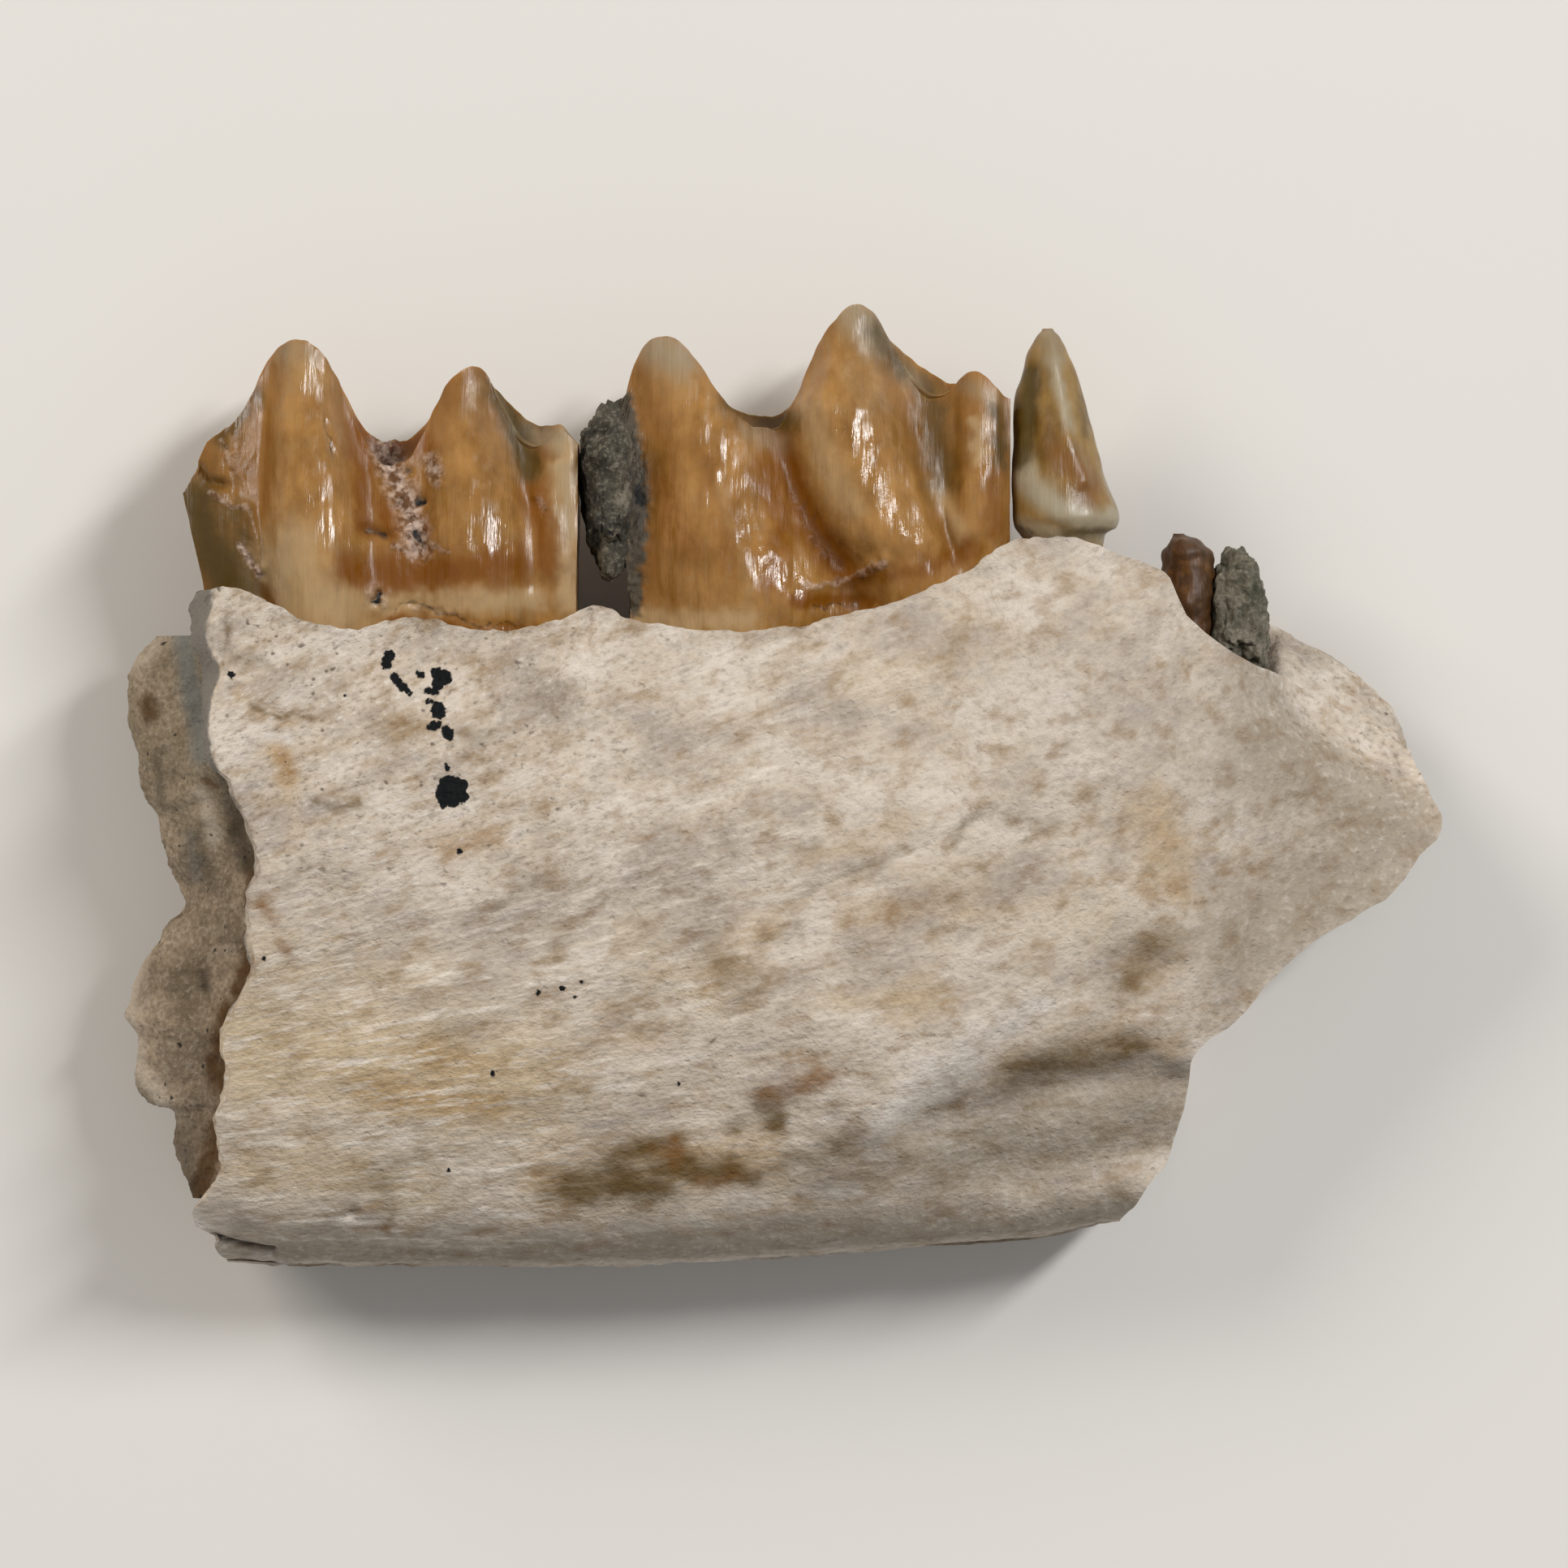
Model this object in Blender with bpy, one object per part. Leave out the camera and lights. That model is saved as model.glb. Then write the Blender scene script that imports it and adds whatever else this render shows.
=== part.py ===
"""Broken lower jaw of a small early ruminant, lying on its tongue side.

X runs along the tooth row towards the front of the animal, Y from the lower border to the
tooth tips, and Z from the tongue side, which rests at Z = 0, to the cheek side.
All dimensions are in millimetres until a mesh is made.
"""

import bisect
import math

import bmesh
import bpy
from mathutils import Vector, noise

MM = 0.001

# Driving dimensions of the bone
BORDER_Z = 2.3  # middle of the lower border's thickness
WALL = 0.10  # cheek and tongue wall at the break, as a share of the thickness
RIM_WALL = 0.06  # the same walls where they thin out around the teeth
FLOOR_DEPTH = 0.7  # tooth row floor under the cheek side rim
RECESS = 0.8  # how far the inside of the broken end is worn back
FRONT_THINNING = 0.40  # share of the thickness lost by the front tip
LEDGE_DEPTH = 0.5
CROWN_SINK = 0.42  # crown base under the cheek side rim
SOCKET_GAP = 0.12  # room between a root or a fill and its bone
RIDGES = [(-3.15, 0.45), (4.15, 0.35)]  # bone between neighbouring teeth, as (x, height)
RIDGE_WIDTH = 0.3
SOCKET_DEEPER = 0.35  # how much lower the floor is in the empty front socket
FRONT_SHALLOWER = 0.45  # how much higher the floor is at the front tip

# Cheek side rim of the tooth row and tongue side rim, as (x, y)
CHEEK_RIM = [
    (-10.2, 3.45), (-9.85, 3.55), (-8.3, 2.9), (-7.5, 2.75), (-6.6, 3.0), (-5.1, 2.75),
    (-4.2, 2.85), (-3.2, 3.2), (-2.7, 2.95), (-0.6, 2.75), (1.35, 3.1), (2.1, 3.3),
    (3.2, 3.8), (4.3, 4.4), (5.0, 4.4), (5.9, 4.1), (6.7, 3.8), (7.2, 2.95), (7.9, 2.4),
    (8.7, 2.0), (10.4, 1.05), (11.2, 0.65),
]
TONGUE_RIM = [
    (-11.2, 2.3), (-10.4, 2.85), (-9.6, 3.1), (-8.3, 2.75), (-6.6, 2.75), (-3.2, 2.95),
    (-0.6, 2.6), (2.1, 3.1), (4.4, 4.1), (5.9, 3.95), (7.4, 3.55), (8.45, 3.1),
    (9.3, 2.6), (9.85, 2.35), (10.55, 1.75), (10.9, 1.4), (11.2, 0.75),
]
LOWER_BORDER = [
    (-9.9, -8.45), (-8.5, -8.52), (-3.8, -8.52), (0.5, -8.35), (2.5, -8.18), (4.4, -8.05),
    (6.0, -7.72), (9.0, -7.3), (12.0, -6.9),
]

# Broken ends, as (y, x): ragged cheek wall, tongue wall and sediment at the back, and the front end
CHEEK_BREAK = [
    (-8.45, -9.85), (-8.25, -10.0), (-7.95, -10.1), (-7.7, -10.38), (-7.5, -10.4), (-7.2, -10.15),
    (-6.95, -9.95), (-6.5, -9.85), (-6.0, -9.95), (-5.5, -9.8), (-5.15, -9.7), (-4.45, -9.8),
    (-3.6, -9.4), (-3.1, -9.2), (-2.6, -9.3), (-2.05, -9.35), (-1.4, -9.15), (-1.05, -9.2),
    (-0.45, -9.4), (0.1, -9.7), (0.55, -10.0), (1.35, -10.0), (2.05, -9.95), (2.75, -10.2),
    (3.5, -10.25),
]
TONGUE_BREAK = [
    (-8.45, -9.85), (-7.6, -10.2), (-6.2, -10.4), (-5.0, -10.9), (-4.1, -11.1), (-3.0, -10.8),
    (-2.1, -10.2), (-1.0, -10.6), (0.5, -11.0), (1.6, -11.15), (2.3, -10.9), (3.0, -10.3),
]
SEDIMENT_BREAK = [
    (-7.45, -10.35), (-6.8, -10.7), (-5.75, -10.9), (-5.6, -11.3), (-5.05, -11.5), (-4.5, -11.5),
    (-4.1, -11.7), (-3.7, -11.5), (-3.3, -11.45), (-2.85, -11.25), (-2.5, -11.0), (-2.1, -10.65),
    (-1.75, -10.7), (-1.35, -10.9), (-0.9, -11.1), (-0.45, -11.15), (-0.2, -11.35), (0.25, -11.45),
    (0.8, -11.55), (1.3, -11.65), (1.65, -11.65), (2.1, -11.55), (2.45, -11.35), (2.68, -11.1),
]
FRONT_BREAK = [
    (-7.72, 6.0), (-7.4, 6.25), (-7.0, 6.5), (-6.55, 6.85), (-6.0, 7.0), (-5.4, 7.15),
    (-4.9, 7.2), (-4.5, 7.45), (-4.15, 7.95), (-3.4, 8.65), (-2.75, 9.35), (-2.3, 10.1),
    (-1.85, 10.8), (-1.15, 11.35), (-0.95, 11.55), (-0.6, 11.68), (-0.2, 11.5), (0.2, 11.35),
    (0.75, 11.17),
]

# Surface heights above the resting plane, as (share of the way from lower border to rim, z)
CHEEK_FACE = [
    (0.0, BORDER_Z), (0.015, 3.0), (0.05, 3.6), (0.1, 4.1), (0.2, 4.65), (0.35, 5.05),
    (0.5, 5.25), (0.68, 5.2), (0.85, 4.9), (1.0, 4.5),
]
TONGUE_FACE = [
    (0.0, BORDER_Z), (0.015, 1.6), (0.05, 1.05), (0.1, 0.6), (0.18, 0.2), (0.28, 0.0),
    (0.85, 0.0), (0.93, 0.15), (1.0, 0.45),
]
# Worn pits in the cheek surface, as (x, y, half width, half height, depth)
PITS = [(6.35, -3.1, 0.55, 0.45, 0.16), (-7.6, -7.5, 0.14, 0.14, 0.12)]
LEDGE_LINE = [(2.6, -5.7), (3.6, -5.35), (5.0, -4.85), (6.0, -4.7), (7.3, -4.75)]

BONE_STATIONS = 38
BONE_ROWS = [
    0.015, 0.045, 0.09, 0.14, 0.195, 0.25, 0.305, 0.345, 0.385, 0.425, 0.48, 0.54, 0.6, 0.66,
    0.72, 0.78, 0.84, 0.89, 0.945, 1.0,
]
COLUMNS = 8  # from the cheek surface to the tongue surface


def mix(low, high, share):
    return low + (high - low) * share


def ease(low, high, value):
    """0 below low, 1 above high, and a soft step between them."""
    share = min(1.0, max(0.0, (value - low) / (high - low)))
    return share * share * (3.0 - 2.0 * share)


def slope_at(outline, index):
    """Slope through one point of an outline, level where the outline turns back."""
    if index in (0, len(outline) - 1):
        return 0.0
    (x0, y0), (x1, y1), (x2, y2) = outline[index - 1 : index + 2]
    before = (y1 - y0) / (x1 - x0)
    after = (y2 - y1) / (x2 - x1)
    return 2.0 * before * after / (before + after) if before * after > 0.0 else 0.0


def along(outline, place):
    """Value of a rounded curve through the outline's (place, value) points."""
    if place <= outline[0][0]:
        return outline[0][1]
    if place >= outline[-1][0]:
        return outline[-1][1]
    index = bisect.bisect_right([point[0] for point in outline], place) - 1
    (x0, y0), (x1, y1) = outline[index], outline[index + 1]
    width = x1 - x0
    t = (place - x0) / width
    bend = slope_at(outline, index) * (1.0 - t) - slope_at(outline, index + 1) * t
    return mix(y0, y1, t * t * (3.0 - 2.0 * t)) + width * t * (1.0 - t) * bend


def lump(x, y, z, size, height, seed):
    """Soft bumps of the given size and height."""
    return height * noise.noise(Vector((x / size + seed, y / size, z / size - seed)))


def new_material(name, colour, roughness):
    material = bpy.data.materials.new(name)
    material.use_nodes = True
    shader = material.node_tree.nodes["Principled BSDF"]
    shader.inputs["Base Color"].default_value = (*colour, 1.0)
    shader.inputs["Roughness"].default_value = roughness
    shader.inputs["Metallic"].default_value = 0.0
    return material


def new_solid(name, points, faces, material, collection):
    """Object from points in millimetres and a closed set of faces."""
    mesh = bpy.data.meshes.new(name)
    mesh.from_pydata([tuple(value * MM for value in point) for point in points], [], faces)
    work = bmesh.new()
    work.from_mesh(mesh)
    bmesh.ops.recalc_face_normals(work, faces=work.faces[:])
    work.to_mesh(mesh)
    work.free()
    mesh.shade_smooth()
    mesh.set_sharp_from_angle(angle=math.radians(50.0))
    if material:
        mesh.materials.append(material)
    solid = bpy.data.objects.new(name, mesh)
    collection.objects.link(solid)
    return solid


def stacked_rings(rings, tip=None, foot=None):
    """Points and faces of rings of equal length, each end closed by a point or a flat face."""
    count = len(rings[0])
    points = [point for ring in rings for point in ring]
    faces = [
        (
            row * count + k,
            row * count + (k + 1) % count,
            (row + 1) * count + (k + 1) % count,
            (row + 1) * count + k,
        )
        for row in range(len(rings) - 1)
        for k in range(count)
    ]
    for end, first in ((foot, 0), (tip, (len(rings) - 1) * count)):
        if end is None:
            faces.append(tuple(range(first, first + count)))
        else:
            points.append(end)
            faces += [(first + k, first + (k + 1) % count, len(points) - 1) for k in range(count)]
    return points, faces


def column_share(column, row):
    """How far a column lies through the thickness, from 0 at the cheek to 1 at the tongue."""
    wall = mix(WALL, RIM_WALL, ease(0.75, 1.0, row))
    shares = [0.0, wall, wall + 0.05, 0.35, 0.65, 0.95 - wall, 1.0 - wall, 1.0]
    return shares[column]


def mound(place, middle, half_width):
    """Rounded hump, 1 in the middle and nearly 0 two half widths away."""
    return math.exp(-(((place - middle) / half_width) ** 2))


def row_floor(x):
    """Height of the tooth row's floor: a deeper empty socket in front, and ridges between the teeth."""
    ridges = sum(height * mound(x, middle, RIDGE_WIDTH) for middle, height in RIDGES)
    depth = FLOOR_DEPTH + SOCKET_DEEPER * ease(6.6, 7.4, x) * (1.0 - ease(8.8, 10.2, x))
    depth -= FRONT_SHALLOWER * ease(9.0, 11.0, x)
    return along(CHEEK_RIM, x) - depth + ridges


def column_top(x, column):
    cheek = along(CHEEK_RIM, x)
    tongue = along(TONGUE_RIM, x)
    floor = min(row_floor(x), tongue - 0.12)
    tops = [cheek, cheek - 0.08, floor, floor - 0.05, floor - 0.05, floor, tongue - 0.08, tongue]
    return tops[column]


def bone_y(x, row, column):
    border = along(LOWER_BORDER, x)
    return mix(border, column_top(x, column), row)


def cheek_z(x, y, row):
    """Cheek surface, with the set-back ledge at its lower front and the worn hollows."""
    z = along(CHEEK_FACE, row)
    under = ease(0.0, 0.55, along(LEDGE_LINE, x) - y) * ease(2.2, 4.4, x)
    z -= LEDGE_DEPTH * under * ease(0.02, 0.12, row)
    z += lump(x, y, 0.0, 2.6, 0.22, 3.1) + lump(x, y, 0.0, 1.1, 0.07, 9.4)
    for middle_x, middle_y, half_width, half_height, depth in PITS:
        z -= depth * mound(x, middle_x, half_width) * mound(y, middle_y, half_height)
    return z


def tongue_z(x, y, row):
    """Tongue surface, flat where it rests and lifted a little towards both ends."""
    lift = 0.35 * ease(7.0, 11.7, abs(x)) + 0.5 * ease(8.0, 11.7, x)
    return max(0.0, along(TONGUE_FACE, row) + lift + lump(x, y, 5.0, 1.9, 0.12, 6.2) - 0.05)


def bone_z(x, y, row, column):
    outer = cheek_z(x, y, row)
    inner = tongue_z(x, y, row)
    thin = FRONT_THINNING * ease(4.5, 11.7, x) * ease(0.0, 0.1, row)
    outer = mix(outer, inner, thin)
    return mix(outer, inner, column_share(column, row)) if row > 0.0 else BORDER_Z


def back_end_x(y, share):
    """Broken back end of the bone's walls, slanting from the cheek wall to the tongue wall."""
    return mix(along(CHEEK_BREAK, y), along(TONGUE_BREAK, y), share)


def back_x(y, row, column):
    x = back_end_x(y, column_share(column, row))
    if 1 < column < 6:
        x += RECESS * ease(0.06, 0.16, row)
    return x


def front_x(y, row, column):
    crumble = 0.25 * math.sin(math.pi * column_share(column, row))
    return along(FRONT_BREAK, y) - crumble * ease(0.02, 0.1, row)


def end_of_row(edge, start, row, column):
    """X where a row of the bone meets its broken end."""
    x = start
    for _ in range(60):
        x = mix(x, edge(bone_y(x, row, column), row, column), 0.5)
    return x


def bone_point(step, row, column):
    back = end_of_row(back_x, -10.0, row, column)
    front = end_of_row(front_x, 7.0, row, column)
    x = mix(back, front, step)
    y = bone_y(x, row, column)
    return (x, y, bone_z(x, y, row, column))


def build_bone(material, collection):
    rows = len(BONE_ROWS)
    last = COLUMNS - 1
    ring = [(0.0, 0)] + [(row, 0) for row in BONE_ROWS]
    ring += [(1.0, column) for column in range(1, last)]
    ring += [(row, last) for row in reversed(BONE_ROWS)]
    count = len(ring)
    points = []
    for station in range(BONE_STATIONS):
        step = station / (BONE_STATIONS - 1)
        points += [bone_point(step, row, column) for row, column in ring]
    faces = []
    for station in range(BONE_STATIONS - 1):
        first = station * count
        for k in range(count):
            after = (k + 1) % count
            faces.append((first + k, first + after, first + count + after, first + count + k))
    for station in (0, BONE_STATIONS - 1):
        first = station * count
        below = [first] * COLUMNS
        for k, row in enumerate(BONE_ROWS):
            cheek = first + 1 + k
            tongue = first + count - 1 - k
            if k == rows - 1:
                between = [first + rows + column for column in range(1, last)]
            else:
                between = list(range(len(points), len(points) + last - 1))
                step = station / (BONE_STATIONS - 1)
                points += [bone_point(step, row, column) for column in range(1, last)]
            here = [cheek, *between, tongue]
            for column in range(last):
                corners = [below[column], below[column + 1], here[column + 1], here[column]]
                faces.append(tuple(dict.fromkeys(corners)))
            below = here
    return new_solid("jawbone", points, faces, material, collection)


ROOT_Z = 2.45
ROOT_SIDES = 10
ROOT_TOPS = {"broken_premolar": 4.0, "root_stub": 2.7}  # height where these two roots meet their crown
# Each root is (x, half width along the row, half width across, how deep its tip lies)
ROOTS = {
    "rear_molar": [(-8.5, 1.0, 1.15, 4.6), (-5.2, 1.0, 1.15, 4.9)],
    "front_molar": [(-1.3, 1.05, 1.15, 4.9), (2.2, 1.0, 1.15, 4.6)],
    "broken_premolar": [(5.0, 0.55, 0.8, 4.0)],
    "root_stub": [(7.15, 0.42, 0.7, 3.2)],
}


def build_root(name, root, top, grow, material, collection):
    """A tapering root from the height top down to its tip, grown by the room it needs in the bone."""
    x, along_row, across, depth = root
    tip = along(CHEEK_RIM, x) - depth - grow
    rings = []
    for share, width in ((0.0, 1.0), (0.35, 0.92), (0.7, 0.66), (0.93, 0.36)):
        y = mix(top, tip, share)
        lean = 0.35 * share
        rings.append([
            (
                x + lean + (along_row * width + grow) * math.cos(angle),
                y,
                ROOT_Z + (across * width + grow) * math.sin(angle),
            )
            for angle in (2.0 * math.pi * k / ROOT_SIDES for k in range(ROOT_SIDES))
        ])
    points, faces = stacked_rings(rings, tip=(x + 0.35, tip, ROOT_Z))
    return new_solid(name, points, faces, material, collection)


def add_boolean(solid, operation, other):
    cut = solid.modifiers.new(operation.lower() + "_" + other.name, "BOOLEAN")
    cut.operation = operation
    cut.object = other
    cut.solver = "EXACT"


def hide_cutter(cutter):
    cutter.hide_render = True
    cutter.display_type = "WIRE"


# A molar's cheek side and tongue side crests as (x, y), the edges of its lobes as (y, x) with the
# height that each lobe bulges, and the x of its two ends at the top and at the base
CROWNS = {
    "rear_molar": {
        "cheek": [
            (-10.6, 5.15), (-10.42, 5.4), (-10.35, 5.95), (-9.65, 6.58), (-9.2, 7.35), (-8.6, 7.85),
            (-8.1, 7.55), (-7.5, 6.25), (-7.05, 5.6), (-6.65, 5.65), (-6.0, 6.95), (-5.4, 7.42),
            (-5.0, 6.5), (-4.5, 5.35), (-4.25, 5.15), (-4.0, 5.9), (-3.85, 6.35), (-3.6, 6.0),
        ],
        "tongue": [
            (-10.6, 5.1), (-10.42, 5.38), (-10.35, 5.95), (-9.65, 6.58), (-9.2, 7.2), (-8.5, 7.6),
            (-8.0, 7.35), (-7.5, 6.45), (-7.1, 6.15), (-6.7, 6.15), (-6.4, 6.45), (-5.9, 6.9),
            (-5.3, 7.2), (-4.75, 6.72), (-4.35, 6.42), (-3.9, 6.48), (-3.6, 6.0),
        ],
        "lobes": [
            ([(3.0, -9.2), (4.7, -9.15), (7.4, -9.05)], [(3.0, -6.95), (5.3, -7.2), (7.0, -7.7)], 1.35),
            ([(3.0, -6.7), (5.3, -6.5), (7.0, -6.2)], [(3.0, -4.1), (4.7, -4.25), (7.2, -5.2)], 1.35),
            ([(3.0, -4.5), (6.4, -4.2)], [(3.0, -3.4), (6.4, -3.4)], 0.95),
            ([(3.0, -7.9), (6.0, -7.3)], [(3.0, -5.6), (6.0, -6.3)], 0.75),
        ],
        "top_ends": (-10.6, -3.6),
        "base_ends": (-10.15, -3.65),
    },
    "front_molar": {
        "cheek": [
            (-2.75, 6.7), (-2.6, 7.6), (-2.3, 7.95), (-2.0, 8.02), (-1.7, 7.8), (-1.25, 7.15),
            (-0.85, 6.5), (-0.5, 6.1), (-0.1, 6.05), (0.2, 6.8), (0.5, 7.5), (0.7, 8.05),
            (0.9, 8.15), (1.1, 8.45), (1.3, 8.54), (1.55, 8.35), (2.0, 7.65), (2.4, 6.9),
            (2.8, 6.55), (3.1, 6.95), (3.4, 7.36), (3.7, 7.15), (4.0, 6.85),
        ],
        "tongue": [
            (-2.75, 6.6), (-2.4, 7.3), (-1.9, 7.7), (-1.3, 7.2), (-0.85, 6.72), (-0.5, 6.62),
            (-0.05, 6.6), (0.2, 6.85), (0.7, 7.6), (1.3, 8.2), (1.6, 8.2), (2.0, 7.88),
            (2.45, 7.52), (3.0, 7.2), (3.3, 7.2), (3.7, 6.95), (4.0, 6.65),
        ],
        "lobes": [
            ([(3.0, -2.75), (7.9, -2.8)],
             [(3.0, 1.5), (4.0, 1.05), (4.7, 0.55), (6.4, -0.15), (8.0, -1.2)], 1.4),
            ([(3.0, 1.3), (4.0, 1.0), (4.7, 0.45), (6.4, -0.15), (8.0, 0.4)],
             [(3.0, 3.7), (4.7, 3.0), (6.4, 2.4), (8.0, 1.9)], 1.4),
            ([(3.0, 2.7), (7.3, 3.05)], [(3.0, 4.3), (7.3, 4.05)], 1.05),
        ],
        "top_ends": (-2.75, 4.0),
        "base_ends": (-2.65, 3.95),
    },
}
CROWN_STATIONS = 30
CROWN_HEIGHT = 4.8
VALLEY_Z = 3.05  # cheek surface in the valley between two lobes
TONGUE_CREST_Z = 1.65
BASIN_Z = 2.35
CHEEK_STEPS = (0.05, 0.14, 0.25, 0.37, 0.5, 0.62, 0.75, 0.88, 1.0)


def crown_base_y(x):
    return along(CHEEK_RIM, x) - CROWN_SINK


def crown_cheek_z(crown, x, y, grow):
    """Cheek surface of a crown: lobes that narrow upwards and draw in at the neck."""
    rise = (y - crown_base_y(x)) / CROWN_HEIGHT
    bulge = 0.0
    for back_edge, front_edge, height in crown["lobes"]:
        back = along(back_edge, y) - grow
        front = along(front_edge, y) + grow
        away = (2.0 * x - back - front) / (front - back)
        bulge = max(bulge, height * max(0.0, 1.0 - away * away) ** 0.8)
    neck = 0.3 * ease(0.28, 0.0, rise)
    return VALLEY_Z + bulge - neck - 0.95 * max(0.0, rise) ** 1.7 + grow


def crown_ring(crown, share, grow):
    """Section across a crown, from the tongue side base over both crests to the cheek side base."""
    top_x = mix(*crown["top_ends"], share)
    base_x = mix(*crown["base_ends"], share)
    shift = grow * (2.0 * share - 1.0)
    base_y = crown_base_y(base_x) - grow
    tongue_y = along(crown["tongue"], top_x) + grow
    cheek_y = along(crown["cheek"], top_x) + grow
    basin_y = min(tongue_y, cheek_y) - 0.75 * math.sin(math.pi * share) ** 0.5 - 0.05
    ends = abs(2.0 * share - 1.0) ** 5
    tongue_z_base = 0.95 + 0.55 * ends - grow

    def at(y, z):
        rise = (y - base_y) / (cheek_y - base_y)
        return (mix(base_x, top_x, min(1.0, rise)) + shift, y, z)

    ring = [
        at(base_y, mix(tongue_z_base, BASIN_Z, 0.35)),
        at(mix(base_y, tongue_y, 0.12), tongue_z_base + 0.12),
        at(mix(base_y, tongue_y, 0.45), tongue_z_base),
        at(mix(base_y, tongue_y, 0.8), mix(tongue_z_base, TONGUE_CREST_Z, 0.5)),
        at(tongue_y, TONGUE_CREST_Z),
        at(mix(tongue_y, basin_y, 0.6), mix(TONGUE_CREST_Z, BASIN_Z, 0.55)),
        at(basin_y, BASIN_Z),
    ]
    face = []
    for step in CHEEK_STEPS:
        y = mix(cheek_y, base_y, step)
        x = at(y, 0.0)[0]
        face.append((x, y, crown_cheek_z(crown, x - shift, y, grow)))
    crest_z = max(BASIN_Z + 0.25, face[0][2] - 0.12)
    ring.append(at(mix(cheek_y, basin_y, 0.6), mix(crest_z, BASIN_Z, 0.55)))
    ring.append(at(cheek_y, crest_z))
    return ring + face + [at(base_y, mix(face[-1][2], BASIN_Z, 0.5))]


def build_crown(name, crown, grow, material, collection):
    shares = [station / (CROWN_STATIONS - 1) for station in range(CROWN_STATIONS)]
    rings = [crown_ring(crown, share, grow) for share in sorted(shares + [0.018, 0.055])]
    points, faces = stacked_rings(rings)
    return new_solid(name, points, faces, material, collection)


# Broken premolar as (y, back x, front x, half thickness, middle z), from root neck to tip
PREMOLAR_LEVELS = [
    (3.75, 4.55, 5.55, 0.75, 2.6), (4.25, 4.4, 5.68, 0.85, 2.7), (4.48, 4.25, 5.72, 0.9, 2.75),
    (4.62, 4.17, 5.93, 0.95, 2.8), (4.78, 4.15, 5.95, 0.98, 2.8), (5.55, 4.15, 5.7, 0.85, 2.8),
    (6.6, 4.16, 5.43, 0.62, 2.75), (7.0, 4.18, 5.32, 0.52, 2.7), (7.4, 4.26, 5.2, 0.42, 2.7),
    (7.7, 4.34, 5.06, 0.32, 2.65), (7.95, 4.5, 4.92, 0.2, 2.65),
]
PREMOLAR_TIP = (4.72, 8.15, 2.65)
PREMOLAR_SIDES = 12


def build_premolar(material, collection):
    """Thin spire that is left of a bladed tooth, hollowed along its back half by the break."""
    rings = []
    for y, back, front, thick, middle_z in PREMOLAR_LEVELS:
        ring = []
        for k in range(PREMOLAR_SIDES):
            angle = 2.0 * math.pi * k / PREMOLAR_SIDES
            x = mix(back, front, 0.5 - 0.5 * math.cos(angle))
            hollow = 0.45 * thick * mound(x, mix(back, front, 0.22), 0.22)
            side = math.sin(angle)
            z = middle_z + side * thick - hollow * max(0.0, side) * ease(4.4, 5.0, y)
            ring.append((x, y, z))
        rings.append(ring)
    points, faces = stacked_rings(rings, tip=PREMOLAR_TIP)
    return new_solid("broken_premolar", points, faces, material, collection)


# Broken root in the front socket as (y, middle x, half width, half thickness), foot to top
STUB_LEVELS = [
    (2.4, 7.2, 0.4, 0.66), (3.2, 7.2, 0.42, 0.7), (3.8, 7.2, 0.46, 0.68), (4.15, 7.22, 0.44, 0.6),
    (4.35, 7.15, 0.28, 0.45),
]
STUB_TIP = (7.03, 4.5, 2.6)


def build_stub(material, collection):
    rings = []
    for y, middle, half, thick in STUB_LEVELS:
        ring = []
        for k in range(ROOT_SIDES):
            angle = 2.0 * math.pi * k / ROOT_SIDES
            rough = 1.0 + lump(math.cos(angle), y, math.sin(angle), 0.6, 0.16, 2.7)
            x = middle + half * rough * math.cos(angle)
            ring.append((x, y, ROOT_Z + thick * rough * math.sin(angle)))
        rings.append(ring)
    points, faces = stacked_rings(rings, tip=STUB_TIP)
    return new_solid("root_stub", points, faces, material, collection)


def build_lump(name, middle, halves, rough, seed, material, collection):
    """Lump of sediment: a ball pulled to size and roughened."""
    work = bmesh.new()
    bmesh.ops.create_uvsphere(work, u_segments=14, v_segments=9, radius=1.0)
    points = []
    for vertex in work.verts:
        x, y, z = vertex.co
        grow = 1.0 + lump(x, y, z, 0.7, rough, seed) + lump(x, y, z, 0.3, 0.4 * rough, seed)
        points.append(tuple(m + h * v * grow for m, h, v in zip(middle, halves, (x, y, z))))
    work.verts.index_update()
    faces = [tuple(vertex.index for vertex in face.verts) for face in work.faces]
    work.free()
    return new_solid(name, points, faces, material, collection)


FILL_ROWS = 19
FILL_LOW = -7.3
FILL_HIGH = 2.68
FILL_SHARES = (0.17, 0.28, 0.42, 0.56, 0.7, 0.8)


def fill_point(y, share, outside):
    """Sediment in the broken back end: its inner side follows the recess, its outer side bulges."""
    inner = back_end_x(y, share) + RECESS - SOCKET_GAP
    inner -= 0.9 * ease(1.2, 2.4, y) + 0.5 * ease(-6.4, -7.3, y)
    x = inner
    if outside:
        edge = along(CHEEK_BREAK, y) + 0.05
        reach = along(SEDIMENT_BREAK, y)
        x = mix(edge, reach, math.sin(0.5 * math.pi * ease(0.0, 1.0, (share - 0.14) / 0.62)))
        x = mix(x, reach + 0.25, ease(0.74, 0.84, share))
        groove = 0.28 * mound(share, 0.3, 0.1) * ease(0.4, 1.2, y)
        x = min(x + groove + lump(x, y, share * 5.0, 0.8, 0.16, 4.4), inner - 0.2)
    border = along(LOWER_BORDER, x)
    row = (y - border) / (along(CHEEK_RIM, x) - border)
    return (x, y, mix(cheek_z(x, y, row), tongue_z(x, y, row), share))


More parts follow.
